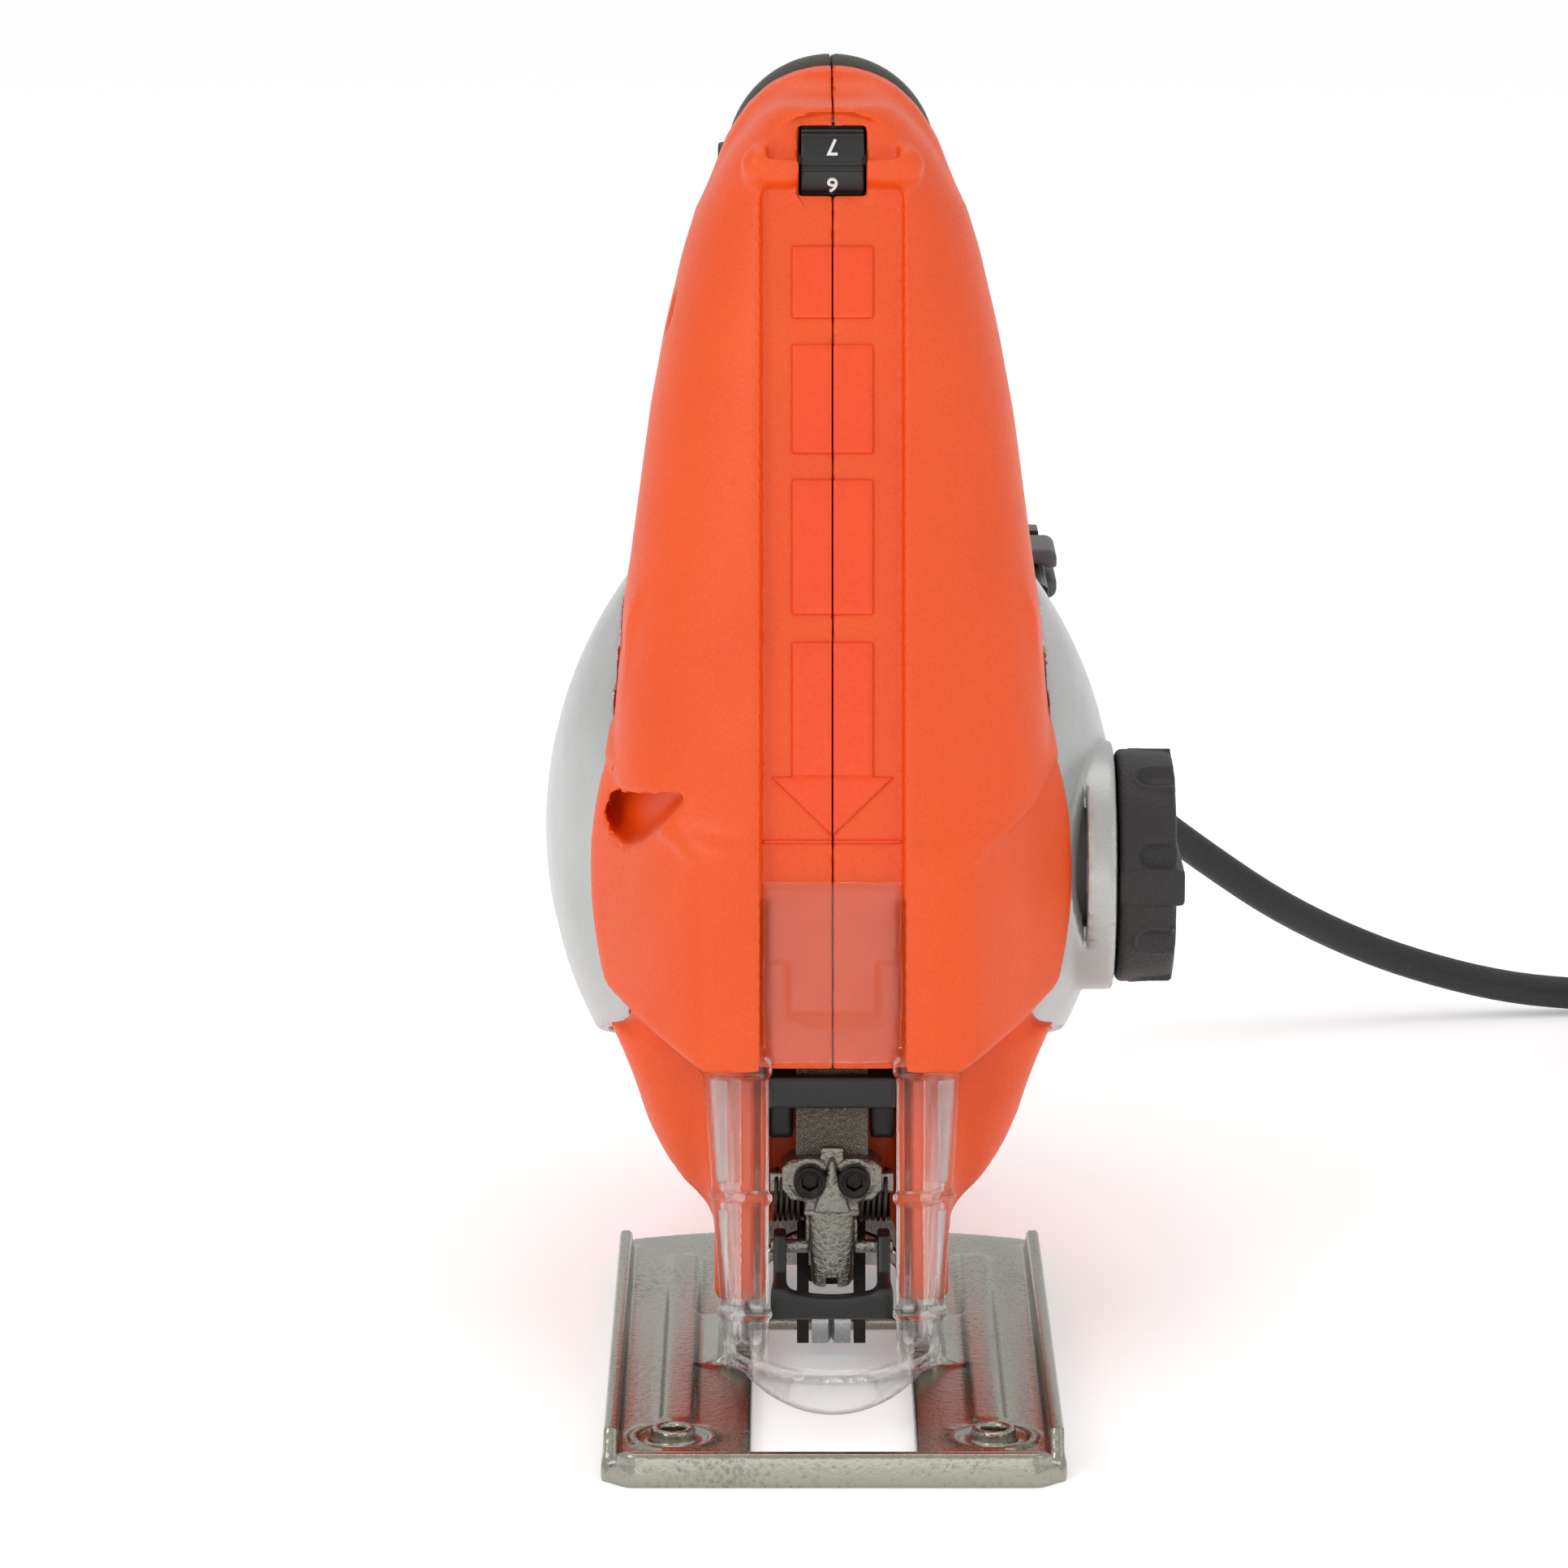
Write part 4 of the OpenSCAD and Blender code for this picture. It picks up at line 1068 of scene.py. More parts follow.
@dataclass
class BladeGuard:
    """The clear guard that slides in the channel, with its frosted windows."""

    step: float = 0.33
    ring: float = 14.8
    ring_y: float = -22.0

    def wing(self, f: Field, depth: Array, up: Array) -> tuple[Array, Array]:
        """Distance to the middle of the side strips' sheet, and to their rear edge.

        Args:
            f: The grid that the shape is made on.
            depth: Depth behind the nose plane.
            up: Height along the nose.

        Returns:
            Both distances.
        """
        x = np.abs(f.x)
        sheet = path_distance(x, depth, [(11.4, 3.0), (15.6, 3.0), (20.4, 14.2), (22.8, 19.8)])
        rear = (depth - 4.2 - np.maximum(up, 0) * 0.178) * 0.95
        return sheet, rear

    def build(self) -> dict[str, bpy.types.Object]:
        """Shapes the clear moulding and the frosted windows on it.

        Returns:
            The pieces by name.
        """
        f = Field((-24, -41, 2.8), (24, 8, 90), self.step)
        depth, up = f.leaning()
        x = np.abs(f.x)
        sheet, rear = self.wing(f, depth, up)
        strips = both(both(sheet - 0.7, rear, 0.5), np.abs(up - 34.5) - 25.5, 0.5)
        rim = both(np.sqrt(sheet**2 + (rear + 0.7) ** 2) - 1.05, np.abs(up - 34.5) - 25.5, 0.5)
        inner = both(np.sqrt((x - 11.7) ** 2 + (depth - 3.0) ** 2) - 1.1, np.abs(up - 36) - 26, 0.5)
        body = join(join(strips, rim, 0.6), inner, 0.6)
        for height, half in ((58.4, 1.3), (37.0, 0.8), (18.0, 0.8)):
            rib = both(both(sheet - 1.5, rear - 0.3, 0.4), np.abs(up - height) - half, 0.5)
            body = join(body, rib, 0.5)
        panel = both(box2(x, depth, (0, 2.6), (11.3, 0.7), 0.3), np.abs(up - 74.2) - 14.9, 0.4)
        band = both(box2(x, depth, (0, 2.35), (11.2, 1.0), 0.3), np.abs(up - 63.3) - 3.9, 0.4)
        tabs = both(box2(x, up, (9.4, 71.5), (2.1, 4.2), 0.3), np.abs(depth - 2.2) - 0.9, 0.3)
        body = join(body, join(join(panel, band, 0.3), tabs, 0.3), 0.5)
        radial = np.sqrt(f.x**2 + (f.y - self.ring_y) ** 2)
        low = 3.9 + 4.0 * (f.x / 14) ** 2
        hoop = both(np.abs(radial - self.ring) - 1.25, f.y - self.ring_y - 1.5)
        hoop = both(hoop, both(low - f.z, f.z - 10.9), 0.7)
        lip = both(np.abs(radial - self.ring + 0.2) - 1.7, f.y - self.ring_y - 0.5)
        lip = both(lip, np.abs(f.z - 10.3) - 0.7, 0.5)
        body = join(body, join(hoop, lip, 0.5), 2.0)
        clear = f.mesh("guard_clear", body, most=150_000)
        window = both(np.abs(sheet - 1.05) - 0.32, both(rear + 2.6, 4.8 - depth + 0 * rear), 0.4)
        slots = join(join(np.abs(up - 47.8) - 8.6, np.abs(up - 27.5) - 7.6), np.abs(up - 13.6) - 2.6)
        window = both(window, slots, 0.5)
        outer = (x - 15.6) * 0.92 - (depth - 3.0) * 0.393
        window = both(window, -outer)
        frosted = f.mesh("guard_windows", window, most=40_000)
        return {"blade_guard": clear, "guard_windows": frosted}


@dataclass
class Foot:
    """The pressed steel foot with its flanges, dimples and the barrel that it tilts on."""

    step: float = 0.42
    half: float = 37.0
    thick: float = 2.5

    def build(self) -> bpy.types.Object:
        """Shapes the pressing.

        Returns:
            The new object.
        """
        f = Field((-37.9, -64.9, -0.9), (37.9, 81.9, 17.9), self.step)
        x = np.abs(f.x)
        plan = both(box2(x, f.y, (0, 8.5), (self.half, 72.5), 1.5), np.sqrt(f.x**2 + (f.y + 14) ** 2) - 95,
                    3)
        plan = both(plan, (x - f.y - 97.04) / 1.414, 1)
        sheet = both(plan, np.abs(f.z - self.thick / 2) - self.thick / 2, 0.9)
        front = both(box2(x, f.z, (0, 2.75), (36.4, 2.75), 1.2), np.abs(f.y + 62.8) - 1.2, 0.9)
        front = both(front, (x - f.y - 97.04) / 1.414, 1)
        side = outline(f.y, f.z, [(-60.5, 0), (-57.5, 8), (60, 8), (68, 2.6), (68, 0)])
        side = both(side, np.abs(x - 35.85) - 1.15, 0.9)
        body = join(join(sheet, front, 1.6), side, 1.6)
        lips = path_distance(x, f.z, [(22.5, 1.2), (18.8, 2.7), (14.7, 6.6)]) - 1.05
        body = join(body, both(lips, np.abs(f.y - 9.5) - 14.5, 0.8), 1.0)
        ridge = both(box2(x, f.y, (25.4, 12), (2.5, 50), 2.4), np.abs(f.z - 1.8) - 1.5, 1.0)
        body = join(body, ridge, 1.4)
        spot = np.sqrt((x - 26) ** 2 + (f.y + 45.5) ** 2)
        body = join(body, both(spot - 7.2, np.abs(f.z - 1.6) - 1.3, 1.0), 1.2)
        body = cut(body, both(spot - 5.6, 2.1 - f.z, 0.8), 1.0)
        body = join(body, both(spot - 3.65, np.abs(f.z - 2.3) - 2.2, 0.7), 0.8)
        body = cut(body, both(spot - 2.1, -f.z - 4), 0.7)
        tube = np.sqrt(f.x**2 + f.z**2)
        hump = both(both(tube - 16.9, np.abs(f.y - 50) - 19.9, 0.9), -f.z)
        body = join(body, hump, 2.2)
        body = cut(body, both(tube - 14.6, np.abs(f.y - 50) - 21))
        for y in (40, 60):
            body = cut(body, both(box2(f.x, f.y, (0, y), (7.6, 2.8), 2.7), 5 - f.z), 0.5)
        body = cut(body, box2(x, f.y, (0, -18.5), (13.2, 42.5), 2.0) + 0 * f.z, 0.9)
        return f.mesh("foot_pressing", body, most=190_000)


@dataclass
class BladeClamp:
    """Die-cast clamp at the end of the plunger, its springs, screws and black bail."""

    step: float = 0.2

    def bar(self) -> bpy.types.Object:
        """The flat ground bar that slides up and down.

        Returns:
            The new object.
        """
        f = Field((-6.6, -2.7, 37.5), (6.6, 2.7, 93.5), 0.3)
        body = both(box2(f.x, f.y, (0, 0), (6.1, 2.2), 0.3), np.abs(f.z - 65.5) - 27.5, 0.5)
        return f.mesh("plunger_bar", body, adaptivity=0.1)

    def block(self) -> bpy.types.Object:
        """The cast block with its two bosses and the ridge between them.

        Returns:
            The new object.
        """
        f = Field((-9, -6.8, 28.6), (9, 4.6, 39.8), self.step)
        x = np.abs(f.x)
        body = outline(x, f.z, [(-1, 38), (5.6, 38.4), (7.2, 37.6), (8.4, 36.4), (8.4, 32.6), (6.9, 30.7),
                                (-1, 30.7)])
        body = both(body, np.abs(f.y + 0.1) - 3.8, 0.9)
        boss = np.sqrt((x - 3.7) ** 2 + (f.z - 34.9) ** 2)
        body = join(body, both(boss - 3.5, np.abs(f.y + 2.3) - 2.3, 0.6), 0.7)
        neck = both(both(x - 4.7, np.abs(f.z - 30.5) - 1.7), np.abs(f.y + 0.6) - 3.0, 0.8)
        body = join(body, neck, 0.8)
        wedge = both(both(x - 0.35 - 0.3 * np.maximum(38.3 - f.z, 0), f.z - 38.3), np.abs(f.y + 3) - 3.2,
                     0.8)
        body = join(body, both(wedge, 29.2 - f.z, 0.6), 0.6)
        notch = both(box2(x, f.z, (0, 39), (1.8, 1.2), 0.3), np.abs(f.y + 2.6) - 1.2)
        return f.mesh("clamp_casting", join(body, notch, 0.4), most=80_000)

    def holder(self) -> bpy.types.Object:
        """The slim cast tongue that the blade sits in.

        Returns:
            The new object.
        """
        f = Field((-5.2, -4.6, 14.8), (5.2, 3.8, 32.4), self.step)
        x = np.abs(f.x)
        half = np.interp(f.z, [15, 24, 28.5, 30.5, 32], [3.3, 3.75, 3.75, 3.0, 2.6]).astype(np.float32)
        crown = -3.9 + 0.1 * x**2 + np.maximum(f.z - 28.5, 0) * 0.5
        body = both(both(x - half, crown - f.y, 1.0), f.y - 3.0, 0.8)
        body = both(body, np.abs(f.z - 23.2) - 7.7, 1.4)
        ears = both(box2(x, f.z, (3.9, 29.5), (0.8, 1.6), 0.4), np.abs(f.y + 0.8) - 2.2, 0.5)
        body = join(body, ears, 0.5)
        fins = both(box2(x, f.z, (4.0, 26.0), (0.35, 3.2), 0.3), np.abs(f.y - 0.8) - 1.8, 0.3)
        body = join(body, fins, 0.4)
        notch = both(both(x - 0.95, f.z - 18), f.y - 2.2)
        return f.mesh("blade_tongue", cut(body, notch, 0.4), most=60_000)

    def pins(self) -> bpy.types.Object:
        """The lugs and the pivot pins on both sides.

        Returns:
            The new object.
        """
        f = Field((-10.9, -2.4, 20), (10.9, 2.4, 35.6), self.step)
        x = np.abs(f.x)
        lugs = both(box2(f.y, f.z, (0, 33.4), (1.9, 1.8), 0.6), np.abs(x - 9.0) - 1.35, 0.5)
        rod = both(np.sqrt(f.y**2 + (f.z - 33.2) ** 2) - 1.25, np.abs(x - 8.5) - 1.6)
        pivot = both(np.sqrt(f.y**2 + (f.z - 22) ** 2) - 1.2, np.abs(x - 7) - 3.3, 0.5)
        return f.mesh("clamp_lugs", join(join(lugs, rod), pivot), most=40_000)

    def bail(self) -> bpy.types.Object:
        """The black lever that opens the clamp.

        Returns:
            The new object.
        """
        f = Field((-10.6, -10.4, 10.8), (10.6, 3.4, 26), 0.22)
        x = np.abs(f.x)
        bar = box2(f.y, f.z, (-7.9, 14.2), (1.55, 2.5), 0.9)
        bar = both(bar, x - 9.9, 1.4)
        bar = both(bar, f.z - 15.6 - 0.02 * x**2, 0.8)
        arms = outline(f.y, f.z, [(-2.2, 24), (2.0, 24), (2.2, 19.5), (-5, 13), (-8.5, 12.8), (-8.5, 16.6),
                                  (-5, 18.6)]) - 0.5
        arms = both(arms, np.abs(x - 8.7) - 1.1, 0.7)
        body = join(bar, arms, 1.6)
        return f.mesh("clamp_lever", body, most=80_000)

    def bush(self) -> bpy.types.Object:
        """The black guide of the plunger with its two hanging cheeks.

        Returns:
            The new object.
        """
        f = Field((-11.2, -5.9, 38.6), (11.2, 8.4, 53), 0.3)
        x = np.abs(f.x)
        frame = both(box2(x, f.y, (0, 0), (10.6, 5.3), 0.6), np.abs(f.z - 49.8) - 2.7, 0.5)
        frame = cut(frame, box2(x, f.y, (0, 0), (6.4, 2.5), 0.2) + 0 * f.z, 0.3)
        cheeks = both(box2(x, f.z, (8.5, 46), (2.0, 6.6), 0.6), np.abs(f.y - 6.2) - 1.5, 0.5)
        web = both(box2(x, f.z, (0, 49.8), (10.5, 2.7), 0.4), np.abs(f.y - 5.6) - 2.0, 0.5)
        return f.mesh("plunger_guide", join(join(frame, cheeks, 0.4), web, 0.3), most=50_000)

    @staticmethod
    def cap_screw(name: str, head: float, tall: float, hexagon: float) -> bpy.types.Object:
        """A socket cap screw's head, facing -Y, with its seat at the origin.

        Args:
            name: The new piece's name.
            head: The head's radius.
            tall: The head's height.
            hexagon: Half the socket's width across its flats.

        Returns:
            The new object.
        """
        f = Field((-head - 0.4, -tall - 0.4, -head - 0.4), (head + 0.4, 0.4, head + 0.4), head / 18)
        radial = np.sqrt(f.x**2 + f.z**2)
        body = both(radial - head, np.abs(f.y + tall / 2) - tall / 2, 0.5)
        flats = np.maximum(np.abs(f.x), np.abs(0.5 * f.x + 0.866 * f.z))
        flats = np.maximum(flats, np.abs(0.5 * f.x - 0.866 * f.z)) - hexagon
        body = cut(body, both(flats, f.y + tall * 0.35), 0.25)
        body = cut(body, both(radial - head * 0.72, f.y + tall - 0.18), 0.15)
        return f.mesh(name, body, most=6_000)


@dataclass
class Selector:
    """The black orbital selector on the right flank."""

    step: float = 0.3
    y: float = KNOB_Y
    z: float = KNOB_Z
    radius: float = 20.0

    def build(self) -> bpy.types.Object:
        """Shapes the knob with its finger dimples and its pointer.

        Returns:
            The new object.
        """
        f = Field((48.2, 17.2, 58.2), (60.4, 58.8, 99.8), self.step)
        y, z = f.y - self.y, f.z - self.z
        radial = np.sqrt(y**2 + z**2)
        body = both(radial - self.radius + 0.05 * (f.x - 48.6), np.abs(f.x - 53.5) - 4.9, 1.6)
        body = cut(body, both(np.abs(radial - 10.5) - 4.0, 57.7 - f.x, 0.5), 0.7)
        for k in range(8):
            angle = math.radians(180 + 28 + (k if k < 4 else k + 0.0) * 45)
            cy, cz = (self.radius + 1.15) * math.cos(angle), (self.radius + 1.15) * math.sin(angle)
            if abs(cz) < 4 and cy < 0:
                continue
            inward = np.maximum(54.2 - f.x, 0)
            dimple = np.sqrt((y - cy) ** 2 + (z - cz) ** 2 + inward**2) - 2.6
            rim = np.sqrt((y - cy) ** 2 + (z - cz) ** 2 + inward**2) - 3.3
            body = join(body, both(both(rim, radial - self.radius - 0.0), np.abs(f.x - 53.5) - 4.7), 0.5)
            body = cut(body, dimple, 0.6)
        rib = both(np.abs(z - 0.4) - 3.1, np.abs(y + 5.5) - 14.9, 0.9)
        rib = both(rib, np.abs(f.x - 54.2) - 5.5, 0.9)
        rib = both(rib, radial - 20.6, 0.6)
        return f.mesh("selector_knob", join(body, rib, 0.5), most=120_000)


@dataclass
class SpeedDial:
    """The ribbed thumb wheel with its painted numbers."""

    y: float = DIAL_Y
    z: float = DIAL_Z
    radius: float = 7.4
    half: float = 5.2
    count: int = 7

    def wheel(self) -> bpy.types.Object:
        """Shapes the wheel; fine ribs run across it between its numbers.

        Returns:
            The new object.
        """
        f = Field((-5.7, 12.2, 192.4), (5.7, 32.4, 212.6), 0.16)
        y, z = f.y - self.y, f.z - self.z
        radial = np.sqrt(y**2 + z**2)
        angle = np.degrees(np.arctan2(z, -y))
        near_number = np.abs((angle + 29 + 180 / self.count) % (360 / self.count) - 180 / self.count)
        ribs = 0.16 * np.cos(np.radians(angle * 45)) * np.clip((near_number - 14) / 2, 0, 1)
        body = both(radial - self.radius + 0.18 - ribs, np.abs(f.x) - self.half, 0.3)
        body = cut(body, radial - 2.2)
        return f.mesh("dial_wheel", body, most=120_000)

    def numbers(self) -> bpy.types.Object:
        """The raised numbers round the wheel, read from behind the tool.

        Returns:
            The new object.
        """
        pieces: list[bpy.types.Object] = []
        for k in range(self.count):
            curve = bpy.data.curves.new(f"number_{k}", "FONT")
            curve.body = str((6 + k - 1) % self.count + 1)
            curve.size, curve.extrude, curve.offset = 3.9 * MM, 0.12 * MM, 0.05 * MM
            curve.align_x = curve.align_y = "CENTER"
            text = bpy.data.objects.new(curve.name, curve)
            bpy.context.scene.collection.objects.link(text)
            bpy.context.view_layer.update()
            data = bpy.data.meshes.new_from_object(text.evaluated_get(bpy.context.evaluated_depsgraph_get()))
            bpy.data.objects.remove(text)
            angle = math.radians(-29 + 360 / self.count * k)
            turn = Matrix.Rotation(math.radians(90) - angle, 4, "X") @ Matrix.Rotation(math.pi, 4, "Z")
            out = Vector((0, -math.cos(angle), math.sin(angle))) * (self.radius - 0.14) * MM
            data.transform(Matrix.Translation(Vector((0, self.y, self.z)) * MM + out) @ turn)
            piece = bpy.data.objects.new(curve.name, data)
            bpy.context.scene.collection.objects.link(piece)
            pieces.append(piece)
        return merged("dial_numbers", pieces)


@dataclass
class Fittings:
    """Trigger, lock button, key clip, hexagon key and dust pipe."""

    def trigger(self) -> bpy.types.Object:
        """The black trigger with its finger hollow.

        Returns:
            The new object.
        """
        f = Field((-6.6, 57, 168.8), (6.6, 87, 188), 0.35)
        points = [(58.6, 186.4), (58.6, 175.4), (61.4, 171.6), (70, 170.1), (82, 170.6), (85.4, 173.4),
                  (85.4, 186.4)]
        body = outline(f.y, f.z, points) - 0.6
        body = both(body, np.abs(f.x) - 6.0, 1.6)
        for k in range(5):
            groove = np.sqrt((f.y - 64.5 - 3.6 * k) ** 2 + (f.z - 169.9) ** 2) - 0.75
            body = cut(body, groove + 0 * f.x, 0.5)
        return f.mesh("trigger_lever", body)

    def lock(self) -> bpy.types.Object:
        """The button that holds the trigger in.

        Returns:
            The new object.
        """
        f = Field((-20.2, 92.4, 186.4), (-8.2, 103.6, 197.6), 0.2)
        radial = np.sqrt((f.y - 98) ** 2 + (f.z - 192) ** 2)
        body = join(both(radial - 4.2, np.abs(f.x + 15) - 4.8, 1.0),
                    both(radial - 5.2, np.abs(f.x + 9.8) - 1.2, 0.3))
        dish = np.sqrt((f.x + 31) ** 2 + (f.y - 98) ** 2 + (f.z - 192) ** 2) - 11.8
        return f.mesh("lock_cap", cut(body, dish, 0.3))

    def clip(self) -> bpy.types.Object:
        """The clip that holds the hexagon key.

        Returns:
            The new object.
        """
        f = Field((33.4, 101.4, 112.8), (41.6, 118.6, 123.2), 0.25)
        body = both(box2(f.x, f.z, (37.3, 118), (3.6, 4.5), 1.8), np.abs(f.y - 110) - 8, 1.0)
        body = cut(body, np.sqrt((f.x - 37.4) ** 2 + (f.z - 118) ** 2) - 1.85 + 0 * f.y, 0.4)
        gap = both(np.abs(f.z - 118) - 1.1, 37.4 - f.x) + 0 * f.y
        return f.mesh("key_holder", cut(body, gap, 0.5))

    def key(self) -> bpy.types.Object:
        """The bent hexagon key.

        Returns:
            The new object.
        """
        f = Field((35.4, 83.6, 101.6), (39.4, 141.4, 120), 0.25)
        x, y, z = f.x - 37.4, f.y, f.z - 118
        bend = 5.0
        flat = np.where((y > 139.4 - bend) & (z < 0),
                        np.sqrt((y - 139.4 + bend) ** 2 + (z + bend) ** 2) - bend, 0)
        across = np.where(y <= 139.4 - bend, z, np.where(z < -bend, y - 139.4, flat))
        hexagon = np.maximum(np.abs(x), np.maximum(np.abs(0.5 * x + 0.866 * across),
                                                   np.abs(0.5 * x - 0.866 * across)))
        body = both(both(hexagon - 1.32, 84 - y, 0.3), 102 - f.z, 0.3)
        return f.mesh("key_rod", body)

    def pipe(self) -> bpy.types.Object:
        """The dust outlet with its grip rings.

        Returns:
            The new object.
        """
        f = Field((-17.2, 94.4, 34.8), (17.2, 158.6, 69.2), 0.5)
        radial = np.sqrt(f.x**2 + (f.z - 52) ** 2)
        rings = 0.35 * np.clip(np.cos((f.y - 150) * 2 * math.pi / 5) * 3, -1,
                               1) * ((f.y > 138) & (f.y < 156))
        body = both(radial - 16.0 - rings, np.abs(f.y - 126.5) - 31.5, 0.8)
        return f.mesh("dust_pipe", cut(body, radial - 14.1, 0.6), most=80_000)


@dataclass
class MainsLead:
    """The mains lead from its strain relief to the plug on the stored coil."""

    diameter: float = 6.5
    centre: tuple[float, float] = (207.0, 210.5)
    route: tuple[Point, ...] = (
        (0, 200, 101), (3, 212, 97.5), (11, 222, 91), (23, 229, 81.5), (36, 233, 70.5), (50, 236, 58),
        (63, 238, 46), (77, 240, 35), (92, 243, 24.5), (108, 246, 16), (124, 249, 9.8), (140, 251.5, 5.6),
        (156, 253, 3.7), (170, 253, 3.3), (183, 253, 3.3),
    )

    def points(self) -> list[Point]:
        """The whole centreline: down to the floor, round the coil in three layers, and up to the plug.

        Returns:
            The points.
        """
        found = list(self.route)
        cx, cy = self.centre
        outer, middle, inner = 42.5, 36.0, 29.5
        plan = [(outer, 3.3), (middle, 3.3), (inner, 3.3), (inner, 9.8), (middle, 9.8), (outer, 9.8),
                (outer, 16.3), (middle, 16.3)]
        per = 20
        for turn, (radius, height) in enumerate(plan):
            following = plan[turn + 1] if turn + 1 < len(plan) else (36.0, 23.0)
            for k in range(per):
                t = k / per
                ease = min(max((t - 0.7) / 0.3, 0), 1)
                ease = ease * ease * (3 - 2 * ease)
                r = radius + (following[0] - radius) * ease
                h = height + (following[1] - height) * ease
                angle = math.radians(90) - 2 * math.pi * t
                found.append((cx + r * math.cos(angle), cy + r * math.sin(angle), h))
        for degrees, r, h in ((90, 36, 23.0), (72, 36, 23.1), (54, 36.4, 23.4), (38, 37, 23.8)):
            angle = math.radians(degrees)
            found.append((cx + r * math.cos(angle), cy + r * math.sin(angle), h))
        found += [(243.2, 219.5, 24.4), (247, 209.6, 24.8), (247.8, 200.5, 25.3), (245.9, 190.6, 25.8),
                  (240.4, 182.2, 26.2), (232, 176.5, 26.5), (222, 174.5, 26.5)]
        return found

    def curve(self) -> bpy.types.Object:
        """A round tube along the centreline.

        Returns:
            The new object.
        """
        data = bpy.data.curves.new("mains_cord", "CURVE")
        data.dimensions = "3D"
        spots = self.points()
        spline = data.splines.new("POLY")
        fine = smooth_path(spots, 4)
        spline.points.add(len(fine) - 1)
        for point, spot in zip(spline.points, fine):
            point.co = (*(v * MM for v in spot), 1)
        data.bevel_depth = self.diameter / 2 * MM
        data.bevel_resolution = 5
        data.use_fill_caps = True
        cord = bpy.data.objects.new("mains_cord", data)
        bpy.context.scene.collection.objects.link(cord)
        return cord

    def length(self) -> float:
        """Length of the centreline, in metres."""
        fine = np.array(smooth_path(self.points(), 4))
        return float(np.linalg.norm(np.diff(fine, axis=0), axis=1).sum()) * MM


@dataclass
class Studio:
    """The camera, the pale floor and the soft light."""

    lens_mm: float = 161.9
    eye: Point = (-8.0, -1142.0, 344.0)
    tilt_deg: float = 78.0

    def camera(self) -> None:
        """Places the camera."""
        data = bpy.data.cameras.new("camera")
        data.lens, data.sensor_width, data.clip_end = self.lens_mm, 36.0, 50.0
        camera = bpy.data.objects.new("camera", data)
        camera.location = Vector(self.eye) * MM
        camera.rotation_euler = (math.radians(self.tilt_deg), 0, 0)
        bpy.context.scene.collection.objects.link(camera)
        bpy.context.scene.camera = camera
        bpy.context.scene.view_settings.view_transform = "Standard"

    def floor(self) -> None:
        """A wide white floor."""
        data = bpy.data.meshes.new("floor")
        data.from_pydata([(-8, -8, 0), (8, -8, 0), (8, 8, 0), (-8, 8, 0)], [], [(0, 1, 2, 3)])
        floor = bpy.data.objects.new("floor", data)
        bpy.context.scene.collection.objects.link(floor)
        made = bpy.data.materials.new("floor_paint")
        made.use_nodes = True
        shader = made.node_tree.nodes["Principled BSDF"]
        shader.inputs["Base Color"].default_value = (0.94, 0.94, 0.94, 1)
        shader.inputs["Roughness"].default_value = 0.9
        shader.inputs["Emission Color"].default_value = (1, 1, 1, 1)
        shader.inputs["Emission Strength"].default_value = 0.25
        data.materials.append(made)

    def light(self, name: str, spot: Point, size: float, power: float) -> None:
        """An area light at a spot in metres, turned to the tool.

        Args:
            name: The new piece's name.
            spot: A place in metres.
            size: The lamp's width in metres.
            power: The lamp's power in watts.
        """
        data = bpy.data.lights.new(name, "AREA")
        data.shape, data.size, data.energy = "DISK", size, power
        lamp = bpy.data.objects.new(name, data)
        lamp.location = spot
        lamp.rotation_euler = (Vector((0, 0.05, 0.1)) - Vector(spot)).to_track_quat("-Z", "Y").to_euler()
        bpy.context.scene.collection.objects.link(lamp)

    def lights(self) -> None:
        """Soft boxes on both sides, and an even sky."""
        world = bpy.data.worlds.new("sky")
        world.use_nodes = True
        world.node_tree.nodes["Background"].inputs[0].default_value = (1, 1, 1, 1)
        world.node_tree.nodes["Background"].inputs[1].default_value = 0.75
        bpy.context.scene.world = world
        self.light("key", (-0.9, -1.1, 1.0), 0.9, 5)
        self.light("fill", (1.1, -0.9, 0.7), 0.9, 1.2)
        self.light("top", (0.0, 0.3, 1.4), 1.0, 3)
        self.light("front", (0.0, -1.6, 0.25), 0.6, 1)


class Workshop:
    """Puts every piece on its body and gives it its finish."""

    def __init__(self, frame: dict) -> None:
        """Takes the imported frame.

        Args:
            frame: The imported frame.
        """
        self.frame = frame
        self.paints = Paints()
        self.body_of = {n: b for b, names in frame["record"]["behaviour"]["bodies"].items() for n in names}

    def place(self, piece: bpy.types.Object, finish: Finish | Clear, slot: str, body: str,
              *nodes: str) -> None:
        """Dresses a piece, lets it ride on a body, and hides the CAD nodes that it stands for.

        Args:
            piece: The object.
            finish: The finish.
            slot: The material slot; not used.
            body: The solid so far.
            *nodes: The CAD nodes that are hidden.
        """
        piece.data.materials.clear()
        piece.data.materials.append(self.paints.of(finish))
        if isinstance(piece.data, bpy.types.Mesh):
            for polygon in piece.data.polygons:
                polygon.material_index = 0
        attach(piece, body)
        if nodes:
            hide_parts(*nodes)
        LOG.info("%s: rides on %s, stands for %s", piece.name, body, ", ".join(nodes) or "nothing")

    def nodes(self) -> None:
        """Gives every CAD node the finish of its material slot."""
        for part in self.frame["record"]["subparts"]:
            node = self.frame["nodes"].get(part["node"])
            if node is None:
                continue
            node.data.materials.clear()
            node.data.materials.append(self.paints.of(SLOT_FINISHES[part["material_slot"]]))


